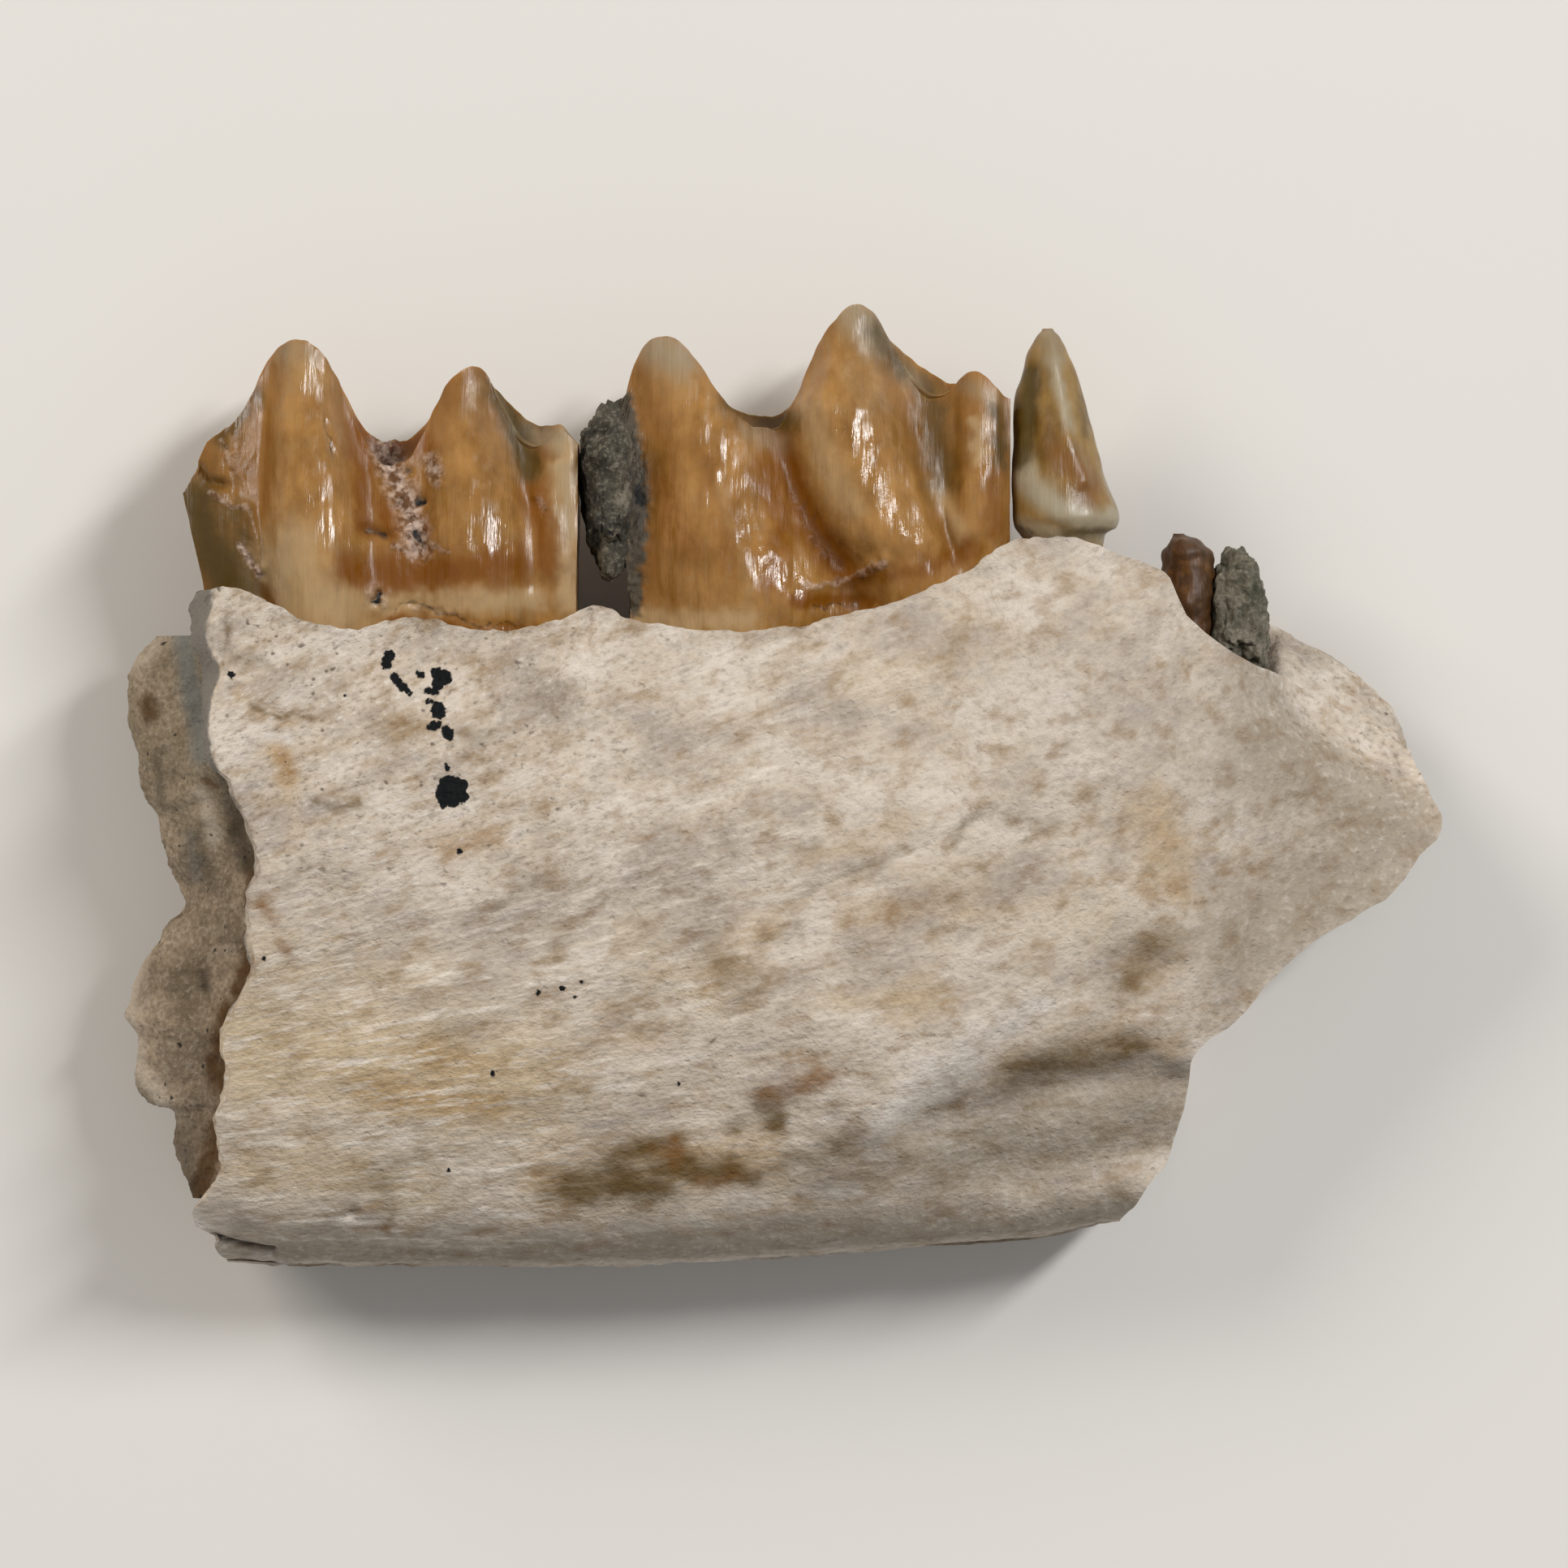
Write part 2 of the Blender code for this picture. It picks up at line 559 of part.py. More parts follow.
def build_fill(material, collection):
    heights = [mix(FILL_LOW, FILL_HIGH, k / (FILL_ROWS - 1)) for k in range(FILL_ROWS)]
    rings = []
    for y in heights:
        outer = [fill_point(y, share, True) for share in FILL_SHARES]
        inner = [fill_point(y, share, False) for share in reversed(FILL_SHARES)]
        rings.append(outer + inner)
    points, faces = stacked_rings(rings)
    return new_solid("sediment_in_break", points, faces, material, collection)


def build_jaw():
    for old in list(bpy.data.objects):
        bpy.data.objects.remove(old, do_unlink=True)
    parts = bpy.data.collections.new("fossil_jaw")
    cutters = bpy.data.collections.new("cutters")
    for collection in (parts, cutters):
        bpy.context.scene.collection.children.link(collection)

    bone = new_material("fossil_bone", (0.62, 0.53, 0.42), 0.6)
    enamel = new_material("fossil_enamel", (0.42, 0.21, 0.08), 0.25)
    pale_enamel = new_material("weathered_enamel", (0.36, 0.27, 0.14), 0.4)
    root_brown = new_material("stained_dentine", (0.1, 0.045, 0.02), 0.5)
    grey_mud = new_material("grey_sediment", (0.16, 0.15, 0.13), 0.9)
    tan_mud = new_material("tan_sediment", (0.3, 0.25, 0.19), 0.9)

    jawbone = build_bone(bone, parts)
    molars = {}
    for name, crown in CROWNS.items():
        molars[name] = build_crown(name, crown, 0.0, enamel, parts)
    premolar = build_premolar(pale_enamel, parts)
    stub = build_stub(root_brown, parts)
    teeth = {**molars, "broken_premolar": premolar, "root_stub": stub}

    for name, roots in ROOTS.items():
        for number, root in enumerate(roots):
            root_top = ROOT_TOPS.get(name, crown_base_y(root[0]) + 0.5)
            label = f"{name}_root_{number}"
            inside = build_root(label, root, root_top, 0.0, None, cutters)
            add_boolean(teeth[name], "UNION", inside)
            socket_top = along(CHEEK_RIM, root[0]) + 0.3
            socket = build_root(label + "_socket", root, socket_top, SOCKET_GAP, None, cutters)
            add_boolean(jawbone, "DIFFERENCE", socket)
            hide_cutter(inside)
            hide_cutter(socket)

    crust = build_lump(
        "sediment_between_molars", (-3.0, 5.6, 2.6), (0.5, 1.1, 1.3), 0.3, 8.3, grey_mud, parts
    )
    room = build_crown("front_molar_room", CROWNS["front_molar"], SOCKET_GAP, None, cutters)
    hide_cutter(room)
    add_boolean(crust, "DIFFERENCE", room)
    build_lump("sediment_in_socket", (8.05, 3.05, 2.2), (0.48, 1.1, 0.85), 0.3, 5.9, grey_mud, parts)
    build_fill(tan_mud, parts)


build_jaw()
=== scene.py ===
# %% [markdown]
# # The broken lower jaw of a small fossil ruminant
#
# This lesson dresses one fossil: a piece of a jawbone with two molars, the spire of a broken
# premolar, a stub of root and the sediment that still clings to it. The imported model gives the
# frame: where each piece is and how big it is. Everything below is drawn in millimetres, because a
# tooth of seven millimetres is easier to think about than one of 0.007 metres, and each mesh is
# turned to metres when it is made.

import math

import bmesh
import bpy
import numpy as np
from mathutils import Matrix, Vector, noise


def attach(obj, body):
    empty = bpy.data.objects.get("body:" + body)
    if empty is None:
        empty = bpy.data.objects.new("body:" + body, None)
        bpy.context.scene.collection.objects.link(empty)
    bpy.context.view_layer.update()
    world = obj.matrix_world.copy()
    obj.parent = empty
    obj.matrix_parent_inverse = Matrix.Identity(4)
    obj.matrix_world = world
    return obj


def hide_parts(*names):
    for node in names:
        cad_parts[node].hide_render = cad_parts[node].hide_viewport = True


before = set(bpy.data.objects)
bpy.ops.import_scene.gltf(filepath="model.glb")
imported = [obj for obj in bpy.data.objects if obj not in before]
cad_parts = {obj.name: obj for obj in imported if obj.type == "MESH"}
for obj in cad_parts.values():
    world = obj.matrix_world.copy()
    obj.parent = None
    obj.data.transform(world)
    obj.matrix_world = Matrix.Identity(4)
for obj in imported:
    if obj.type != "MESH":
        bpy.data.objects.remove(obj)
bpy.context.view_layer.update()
MM = 0.001

# %% [markdown]
# ## Numbers that bend
#
# A fossil has no straight edge, so its outlines are short lists of measured points with a rounded
# curve through them. The curve never swings past a point, which keeps a break as ragged as it was
# measured. `ease` is a soft step, `hump` a soft bell, and `near` says how close a place is to a
# line drawn on the surface. A stroke is such a line with a width and a strength. It serves for
# grooves, where its strength is a height in mm, and for stains, where it is a share from 0 to 1.


# %% Curves, steps and drawn lines
def mix(low, high, share):
    return low + (high - low) * share


def ease(low, high, value):
    share = np.clip((value - low) / (high - low), 0.0, 1.0)
    return share * share * (3.0 - 2.0 * share)


def hump(place, middle, half_width):
    return np.exp(-(((place - middle) / half_width) ** 2))


def along(outline, place):
    """Value at a place on a rounded curve through the outline's (place, value) points."""
    places, values = np.array(outline, float).T
    place = np.clip(place, places[0], places[-1])
    steps = np.diff(values) / np.diff(places)
    slopes = np.zeros(len(values))
    product = steps[:-1] * steps[1:]
    total = np.where(product > 0.0, steps[:-1] + steps[1:], 1.0)
    slopes[1:-1] = np.where(product > 0.0, 2.0 * product / total, 0.0)
    index = np.clip(np.searchsorted(places, place, side="right") - 1, 0, len(places) - 2)
    width = places[index + 1] - places[index]
    t = (place - places[index]) / width
    bend = slopes[index] * (1.0 - t) - slopes[index + 1] * t
    curve = mix(values[index], values[index + 1], t * t * (3.0 - 2.0 * t))
    return curve + width * t * (1.0 - t) * bend


def near(x, y, path, half_width):
    """1 on a path given as x, y, x, y, ..., falling softly to nothing two half widths away."""
    best = np.full(np.shape(x), np.inf)
    corners = list(zip(path[::2], path[1::2]))
    for (ax, ay), (bx, by) in zip(corners, corners[1:] or corners):
        dx, dy = bx - ax, by - ay
        t = np.clip(((x - ax) * dx + (y - ay) * dy) / (dx * dx + dy * dy + 1e-9), 0.0, 1.0)
        best = np.minimum(best, np.hypot(x - ax - t * dx, y - ay - t * dy))
    return np.exp(-((best / half_width) ** 2))


def drawn(x, y, strokes):
    """How much each stroke gives: a stroke is its path's x, y, x, y, ..., half width and strength."""
    return [strength * near(x, y, path, width) for *path, width, strength in strokes]


def strongest(x, y, strokes):
    return np.max(drawn(x, y, strokes), axis=0) if strokes else np.zeros(np.shape(x))


def bumps(points, size, seed, octaves=1):
    """Soft noise from about -1 to 1. Size is how wide a bump is in mm, one number or one per axis."""
    places = (points / np.array(size) + seed).tolist()
    if octaves == 1:
        return np.array([noise.noise(place) for place in places])
    return np.array([noise.fractal(place, 1.0, 2.0, octaves) for place in places])


print("half way up a soft step:", float(ease(0.0, 1.0, 0.5)))

# %% [markdown]
# ## From rings of points to a piece
#
# Bone and teeth are grown shapes, so the honest tool is a loft: a ring of points for each slice,
# and faces between neighbouring rings. `carve` then pushes every point along its own normal, which
# is what weather does to a bone, and `mark` keeps a number from 0 to 1 on each point, so that a
# material can tell stained bone from clean bone.


# %% Making a mesh
SHARP_EDGE = math.radians(60.0)  # a steeper fold than this shows as an edge


def new_piece(name, points, faces):
    """A closed mesh from points in mm, with its faces turned outwards."""
    mesh = bpy.data.meshes.new(name)
    mesh.from_pydata((np.asarray(points) * MM).tolist(), [], faces)
    work = bmesh.new()
    work.from_mesh(mesh)
    bmesh.ops.recalc_face_normals(work, faces=work.faces[:])
    work.to_mesh(mesh)
    work.free()
    piece = bpy.data.objects.new(name, mesh)
    bpy.context.scene.collection.objects.link(piece)
    return piece


def ring_faces(rings, count, close=True):
    """Faces between rings of equal length that follow each other in a list of points."""
    row, k = np.mgrid[0 : rings - 1, 0:count]
    after = (k + 1) % count
    faces = np.stack([row * count + k, row * count + after,
                      (row + 1) * count + after, (row + 1) * count + k], axis=-1)
    faces = faces.reshape(-1, 4).tolist()
    if close:
        faces += [list(range(count)), list(range((rings - 1) * count, rings * count))]
    return faces


def stacked(name, rings):
    """A piece from an array of rings, closed by a face at each end."""
    rings = np.asarray(rings)
    return new_piece(name, rings.reshape(-1, 3), ring_faces(len(rings), rings.shape[1]))


def join_into(piece, others):
    """Grows the other closed meshes into a piece, as a root grows out of its crown."""
    for other in others:
        union = piece.modifiers.new("grown_together", "BOOLEAN")
        union.operation = "UNION"
        union.object = other
        union.solver = "MANIFOLD"
    settle_modifiers(piece)
    for other in others:
        bpy.data.objects.remove(other)


def settle_modifiers(piece):
    """Replaces a piece's mesh by what its modifiers make of it."""
    graph = bpy.context.evaluated_depsgraph_get()
    mesh = bpy.data.meshes.new_from_object(piece.evaluated_get(graph))
    piece.modifiers.clear()
    piece.data = mesh


print("a stack of two square rings has", len(ring_faces(2, 4)), "faces")


# %% Carving, marking and finishing a mesh
def places_of(piece):
    """Every point of a piece in mm, and its outward normal."""
    count = len(piece.data.vertices)
    points = np.empty(count * 3)
    normals = np.empty(count * 3)
    piece.data.vertices.foreach_get("co", points)
    piece.data.vertex_normals.foreach_get("vector", normals)
    return points.reshape(-1, 3) / MM, normals.reshape(-1, 3)


def carve(piece, heights):
    """Pushes each point along its normal, by heights in mm."""
    points, normals = places_of(piece)
    moved = (points + normals * np.asarray(heights)[:, None]) * MM
    piece.data.vertices.foreach_set("co", moved.ravel())
    piece.data.update()


def mark(piece, name, amounts):
    """Keeps a share from 0 to 1 on each point, under a name that a material reads."""
    layer = piece.data.attributes.new(name, "FLOAT", "POINT")
    layer.data.foreach_set("value", np.clip(amounts, 0.0, 1.0).astype(np.float32))


def finish_piece(piece, material, node):
    """Smooth shading, its material, and its place on the frame."""
    piece.data.shade_smooth()
    piece.data.set_sharp_from_angle(angle=SHARP_EDGE)
    piece.data.materials.clear()
    piece.data.materials.append(material)
    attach(piece, "root")
    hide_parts(node)
    print(piece.name, "has", len(piece.data.polygons), "faces")


# %% [markdown]
# ## Materials are small recipes
#
# A finish is a graph of nodes. One function adds a node, sets its properties and fills its
# sockets: a value is typed in, another node's output is linked. Colours are written as sRGB hex,
# as a colour picker shows them, and turned to the linear values that light is reckoned in.
#
# A colour is built up in layers, as a painter would. A pattern lays its colour where the pattern
# runs from one value to another, given as (pattern, colour, low, high, strength, mark to stay
# within). A mark lays its colour where the piece carries it, given as (mark, colour, pattern that
# tears its edge, strength, how torn, how soft).


# %% Colours and nodes
def linear(hex_colour):
    """Linear RGBA of an sRGB hex colour."""
    parts = [int(hex_colour[k : k + 2], 16) / 255.0 for k in (0, 2, 4)]
    return (*[p / 12.92 if p <= 0.04045 else ((p + 0.055) / 1.055) ** 2.4 for p in parts], 1.0)


def in_use(sockets, key):
    """The socket that a name or number means, among those that the node uses."""
    if isinstance(key, int):
        return sockets[key]
    return next(socket for socket in sockets if socket.enabled and socket.name == key)


def fill(tree, node, inputs):
    """Fills a node's inputs: a value is typed in, and an output or another node is linked."""
    for key, value in inputs.items():
        socket = in_use(node.inputs, key)
        if isinstance(value, bpy.types.Node):
            value = next(output for output in value.outputs if output.enabled)
        if isinstance(value, bpy.types.NodeSocket):
            tree.links.new(value, socket)
        else:
            socket.default_value = value


def add(tree, kind, inputs=None, **settings):
    """Adds a node with its settings, and fills its inputs."""
    made = tree.nodes.new("ShaderNode" + kind)
    for name, value in settings.items():
        setattr(made, name, value)
    fill(tree, made, inputs or {})
    return made


def start_material(name):
    """An empty recipe with its shader, and the surface's place in millimetres."""
    material = bpy.data.materials.new(name)
    material.use_nodes = True
    tree = material.node_tree
    tree.nodes.clear()
    shader = add(tree, "BsdfPrincipled")
    add(tree, "OutputMaterial", {"Surface": shader})
    metres = add(tree, "TexCoord").outputs["Object"]
    place = add(tree, "VectorMath", {0: metres, "Scale": 1.0 / MM}, operation="SCALE")
    return material, tree, shader, place


# %% Patterns and layers
def grain(tree, place, widths, detail=3.0):
    """A pattern from 0 to 1 whose patches have the given widths in mm."""
    sized = add(tree, "VectorMath", {0: place, 1: widths}, operation="DIVIDE")
    return add(tree, "TexNoise",
               {"Vector": sized, "Scale": 1.0, "Detail": detail, "Roughness": 0.6})


def lay_mark(tree, under, name, colour, ragged, strength, torn=0.8, soft=0.7):
    """Lays a colour where the piece carries a mark. A pattern tears its edge, soft is the edge's width."""
    amount = add(tree, "Attribute", attribute_name=name).outputs["Fac"]
    tear = add(tree, "Math", {0: ragged, 1: torn, 2: -0.5 * torn}, operation="MULTIPLY_ADD")
    torn_amount = add(tree, "Math", {0: amount, 1: tear}, operation="ADD")
    low, high = 0.5 - 0.5 * soft, 0.5 + 0.5 * soft
    cover = add(tree, "MapRange",
                {"Value": torn_amount, "From Min": low, "From Max": high, "To Max": strength},
                interpolation_type="SMOOTHSTEP")
    return add(tree, "Mix", {"Factor": cover, "A": under, "B": linear(colour)}, data_type="RGBA")


def lay_pattern(tree, under, pattern, colour, low, high, strength=1.0, within=None):
    """Lays a colour or a mix where a pattern runs from low to high, within a mark if one is named."""
    over = linear(colour) if isinstance(colour, str) else colour
    cover = add(tree, "MapRange",
                {"Value": pattern, "From Min": low, "From Max": high, "To Max": strength})
    if within:
        inside = add(tree, "Attribute", attribute_name=within).outputs["Fac"]
        cover = add(tree, "Math", {0: cover, 1: inside}, operation="MULTIPLY")
    return add(tree, "Mix", {"Factor": cover, "A": under, "B": over}, data_type="RGBA")


def lay_all(tree, colour, layers):
    """Lays layers over a colour, the lowest first. Each says how it is laid and with what."""
    for lay, *what in layers:
        colour = lay(tree, colour, *what)
    return colour


print("cream bone is", [round(value, 3) for value in linear("D8CBB6")], "in linear light")

# %% [markdown]
# ## The jawbone
#
# The bone is one loft. A ring of points runs up the cheek side from the lower border, over the rim
# and the worn floor of the tooth row, and down the tongue side. The rings follow each other from
# the ragged break at the back to the worn break at the front, so that both breaks are real edges.
# The fossil lies on its tongue side: Z is 0 there, and the cheek side looks up.

# %% Outlines of the bone, in mm
BORDER_Z = 2.3  # middle of the lower border's thickness
FLOOR_DEPTH = 0.7  # floor of the tooth row under the cheek side rim
RECESS = 0.8  # how far the inside of the back break is worn in
LEDGE_DEPTH = 0.55
FRONT_THINNING = 0.40
SKIN_SLOPE = 0.9  # how far the grey broken edge slopes away at the back
FRONT_SLOPE = 1.1  # and the rim of the front socket
# Ridges of bone between the teeth, as (x, half width, height)
TOOTH_RIDGES = [(-3.15, 0.3, 0.45), (4.15, 0.3, 0.35)]

CHEEK_RIM = [
    (-10.2, 3.45), (-9.85, 3.55), (-8.3, 2.9), (-7.5, 2.75), (-6.6, 3), (-5.1, 2.75), (-4.2, 2.85),
    (-3.2, 3.2), (-2.7, 2.95), (-0.6, 2.75), (1.35, 3.1), (2.1, 3.3), (3.2, 3.8), (4.3, 4.4), (5, 4.4),
    (5.9, 4.1), (6.7, 3.8), (7.2, 2.95), (7.9, 2.4), (8.7, 2), (10.4, 1.05), (11.2, 0.65),
]
TONGUE_RIM = [
    (-11.2, 2.3), (-10.4, 2.85), (-9.6, 3.1), (-8.3, 2.75), (-6.6, 2.75), (-3.2, 2.95), (-0.6, 2.6),
    (2.1, 3.1), (4.4, 4.1), (5.9, 3.95), (7.4, 3.55), (8.45, 3.1), (9.3, 2.6), (9.85, 2.35),
    (10.55, 1.75), (10.9, 1.4), (11.2, 0.75),
]
LOWER_BORDER = [
    (-9.9, -8.45), (-8.5, -8.52), (-3.8, -8.52), (0.5, -8.35), (2.5, -8.18), (4.4, -8.05), (6, -7.72),
    (9, -7.3), (12, -6.9),
]
CHEEK_BREAK = [
    (-8.45, -9.85), (-8.25, -10), (-7.95, -10.1), (-7.7, -10.38), (-7.5, -10.4), (-7.2, -10.15),
    (-6.95, -9.95), (-6.5, -9.85), (-6, -9.95), (-5.5, -9.8), (-5.15, -9.7), (-4.45, -9.8),
    (-3.6, -9.4), (-3.1, -9.2), (-2.6, -9.3), (-2.05, -9.35), (-1.4, -9.15), (-1.05, -9.2),
    (-0.45, -9.4), (0.1, -9.7), (0.55, -10), (1.35, -10.12), (2.05, -10.2), (2.6, -10.42),
    (3.1, -10.45), (3.5, -10.3),
]
# Where the cream skin of the cheek side stops and the grey broken edge slopes away, as (y, x)
SKIN_EDGE = [
    (-1.6, -9.25), (-0.95, -9.32), (-0.2, -9.6), (0.5, -9.93), (1.1, -10), (1.6, -9.98), (2, -9.82),
    (2.4, -10), (2.7, -10.08), (3.45, -9.98),
]
TONGUE_BREAK = [
    (-8.45, -9.85), (-7.6, -10.2), (-6.2, -10.4), (-5, -10.9), (-4.1, -11.1), (-3, -10.8),
    (-2.1, -10.2), (-1, -10.6), (0.5, -11), (1.6, -11.15), (2.3, -10.9), (3, -10.3),
]
FRONT_BREAK = [
    (-7.72, 6), (-7.4, 6.25), (-7, 6.5), (-6.55, 6.85), (-6, 7), (-5.4, 7.15), (-4.9, 7.2),
    (-4.5, 7.45), (-4.15, 7.95), (-3.4, 8.65), (-2.75, 9.35), (-2.3, 10.1), (-1.85, 10.8),
    (-1.15, 11.35), (-0.95, 11.55), (-0.6, 11.68), (-0.2, 11.5), (0.2, 11.35), (0.75, 11.17),
]
CHEEK_FACE = [
    (0.0, BORDER_Z), (0.015, 3.0), (0.05, 3.6), (0.1, 4.1), (0.2, 4.65), (0.35, 5.05),
    (0.5, 5.25), (0.68, 5.2), (0.85, 4.9), (1.0, 4.5),
]
TONGUE_FACE = [
    (0.0, BORDER_Z), (0.015, 1.6), (0.05, 1.05), (0.1, 0.6), (0.18, 0.2), (0.28, 0.0),
    (0.85, 0.0), (0.93, 0.15), (1.0, 0.45),
]
LEDGE_LINE = [(2.6, -5.7), (3.6, -5.35), (5, -4.85), (6, -4.7), (7.3, -4.75)]
# Worn pits in the cheek surface, as (x, y, half width, half height, depth)
PITS = [(6.35, -3.1, 0.55, 0.45, 0.16), (-7.6, -7.5, 0.14, 0.14, 0.16)]
print("the rim of the cheek side is drawn by", len(CHEEK_RIM), "points")


# %% Where a point of the bone lies
def lump(x, y, z, size, height, seed):
    """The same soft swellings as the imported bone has."""
    x, y, z = np.broadcast_arrays(x, y, z)
    places = np.stack([x / size + seed, y / size, z / size - seed], axis=-1)
    made = [noise.noise(place) for place in places.reshape(-1, 3).tolist()]
    return height * np.reshape(made, x.shape)


def wall_share(row):
    """Thickness of the two outer walls of bone, thinner around the teeth."""
    return mix(0.10, 0.06, ease(0.75, 1.0, row))


def rim_top(x, share):
    """Height of the tooth row's top across the bone, from the cheek rim to the tongue rim."""
    cheek = along(CHEEK_RIM, x)
    tongue = along(TONGUE_RIM, x)
    ridges = sum(height * hump(x, middle, width) for middle, width, height in TOOTH_RIDGES)
    socket = 0.35 * ease(6.6, 7.4, x) * (1.0 - ease(8.8, 10.2, x))
    depth = FLOOR_DEPTH + socket - 0.45 * ease(9.0, 11.0, x) - ridges
    floor = np.minimum(cheek - depth, tongue - 0.12)
    inside = ease(0.045, 0.115, share) * ease(0.045, 0.115, 1.0 - share)
    rounded = 0.08 * ease(0.0, 0.05, np.minimum(share, 1.0 - share))
    rim = np.where(share < 0.5, cheek, tongue) - rounded
    return mix(mix(rim, floor, inside), mix(cheek, tongue, share), ease(8.1, 9.0, x))


def bone_y(x, row, share):
    return mix(along(LOWER_BORDER, x), rim_top(x, share), row)


def cheek_z(x, y, row):
    under = ease(0.0, 0.5, along(LEDGE_LINE, x) - y) * ease(2.2, 4.4, x)
    z = along(CHEEK_FACE, row) - LEDGE_DEPTH * under * ease(0.02, 0.12, row)
    z = z + lump(x, y, 0.0, 2.6, 0.22, 3.1) + lump(x, y, 0.0, 1.1, 0.07, 9.4)
    for middle_x, middle_y, half_width, half_height, depth in PITS:
        z = z - depth * hump(x, middle_x, half_width) * hump(y, middle_y, half_height)
    return z


def tongue_z(x, y, row):
    lift = 0.35 * ease(7.0, 11.7, abs(x)) + 0.5 * ease(8.0, 11.7, x)
    return np.maximum(0.0, along(TONGUE_FACE, row) + lift + lump(x, y, 5.0, 1.9, 0.12, 6.2) - 0.05)


def bone_z(x, y, row, share):
    outer = cheek_z(x, y, row)
    inner = tongue_z(x, y, row)
    outer = mix(outer, inner, FRONT_THINNING * ease(4.5, 11.7, x) * ease(0.0, 0.1, row))
    outer = outer - SKIN_SLOPE * ease(0.0, 0.5, along(SKIN_EDGE, y) - x) * ease(-1.6, -0.6, y)
    outer = outer - FRONT_SLOPE * ease(7.9, 9.4, x) * ease(0.78, 1.0, row) ** 2
    return np.where(row > 0.0, mix(outer, inner, share), BORDER_Z)


print("thickness of the bone at its middle, in mm:", round(float(cheek_z(0.0, -3.0, 0.5)), 2))


# %% Where its two broken ends lie
def back_end(y, row, share):
    """X of the back break: walls that stand out, and a worn recess between them."""
    wall = wall_share(row)
    inside = ease(wall - 0.01, wall + 0.06, share) * ease(wall - 0.01, wall + 0.06, 1.0 - share)
    crumbs = lump(y, share * 4.0, 0.0, 0.28, 0.09, 2.2) + lump(y, share * 4.0, 0.0, 0.12, 0.05, 7.1)
    end = mix(along(CHEEK_BREAK, y), along(TONGUE_BREAK, y), share)
    return end + RECESS * inside * ease(0.06, 0.16, row) + crumbs * ease(0.0, 0.05, row)


def front_end(y, row, share):
    crumble = 0.25 * np.sin(math.pi * share) * ease(0.02, 0.1, row)
    crumbs = lump(y, share * 4.0, 3.0, 0.4, 0.05, 5.5) * ease(0.02, 0.1, row)
    return along(FRONT_BREAK, y) - crumble + crumbs


TRIES = 24  # each one halves what is left of the error


def where_it_ends(end, start, row, share):
    """X at which a line along the bone meets one of its broken ends."""
    x = np.full(np.shape(row), start)
    for _ in range(TRIES):
        x = mix(x, end(bone_y(x, row, share), row, share), 0.5)
    return x


def bone_points(steps, row, share):
    """Points at steps from the back break to the front break, for each row and share."""
    back = where_it_ends(back_end, -10.0, row, share)
    front = where_it_ends(front_end, 7.0, row, share)
    x = mix(back[None], front[None], steps[:, None])
    row, share = (np.broadcast_to(values, x.shape) for values in (row, share))
    y = bone_y(x, row, share)
    return np.stack([x, y, bone_z(x, y, row, share)], axis=-1)


# %% Loft the bone
BONE_STATIONS = 262
BONE_ROWS = 128
TOP_SHARES = np.concatenate([
    np.linspace(0.012, 0.13, 12), np.linspace(0.17, 0.83, 12), np.linspace(0.87, 0.988, 12),
])
rows = np.linspace(0.0, 1.0, BONE_ROWS + 1)[1:] ** 1.2
ring_rows = np.concatenate([[0.0], rows, np.ones(len(TOP_SHARES)), rows[::-1]])
ring_shares = np.concatenate([[0.0], np.zeros(BONE_ROWS), TOP_SHARES, np.ones(BONE_ROWS)])
steps = np.linspace(0.0, 1.0, BONE_STATIONS)
ring_points = bone_points(steps, ring_rows, ring_shares)
ring_size = len(ring_rows)
bone_all = [ring_points.reshape(-1, 3)]
bone_faces = ring_faces(BONE_STATIONS, ring_size, close=False)
made = BONE_STATIONS * ring_size
cap_rows, cap_shares = (grid.ravel() for grid in np.meshgrid(rows[:-1], TOP_SHARES, indexing="ij"))
for station in (0, BONE_STATIONS - 1):
    first = station * ring_size
    bone_all.append(bone_points(steps[[station]], cap_rows, cap_shares)[0])
    below = [first] * (len(TOP_SHARES) + 2)
    for k in range(BONE_ROWS):
        if k < BONE_ROWS - 1:
            between = list(range(made, made + len(TOP_SHARES)))
            made += len(TOP_SHARES)
        else:
            between = list(range(first + BONE_ROWS + 1, first + BONE_ROWS + 1 + len(TOP_SHARES)))
        here = [first + 1 + k, *between, first + ring_size - 1 - k]
        for low_a, low_b, high_b, high_a in zip(below, below[1:], here[1:], here):
            bone_faces.append(list(dict.fromkeys((low_a, low_b, high_b, high_a))))
        below = here
jawbone = new_piece("jawbone_surface", np.concatenate(bone_all), bone_faces)
print("jawbone:", len(jawbone.data.vertices), "points")

# %% [markdown]
# ## Weathering of the bone
#
# Old bone is not smooth: near the back break the surface is grainy, as the outer skin has worn
# off, while lower down the long fibres of the bone lie bare. The fibres fan out from behind the
# jaw, level at the lower border and rising forwards higher up, so a place is measured along and
# across that fan. Grooves and small pits are drawn where the fossil has them.

# %% Carve the bone
FAN_CENTRE = (-32.0, -9.0)  # the fibres radiate from here
FAN_RADIUS = 30.0

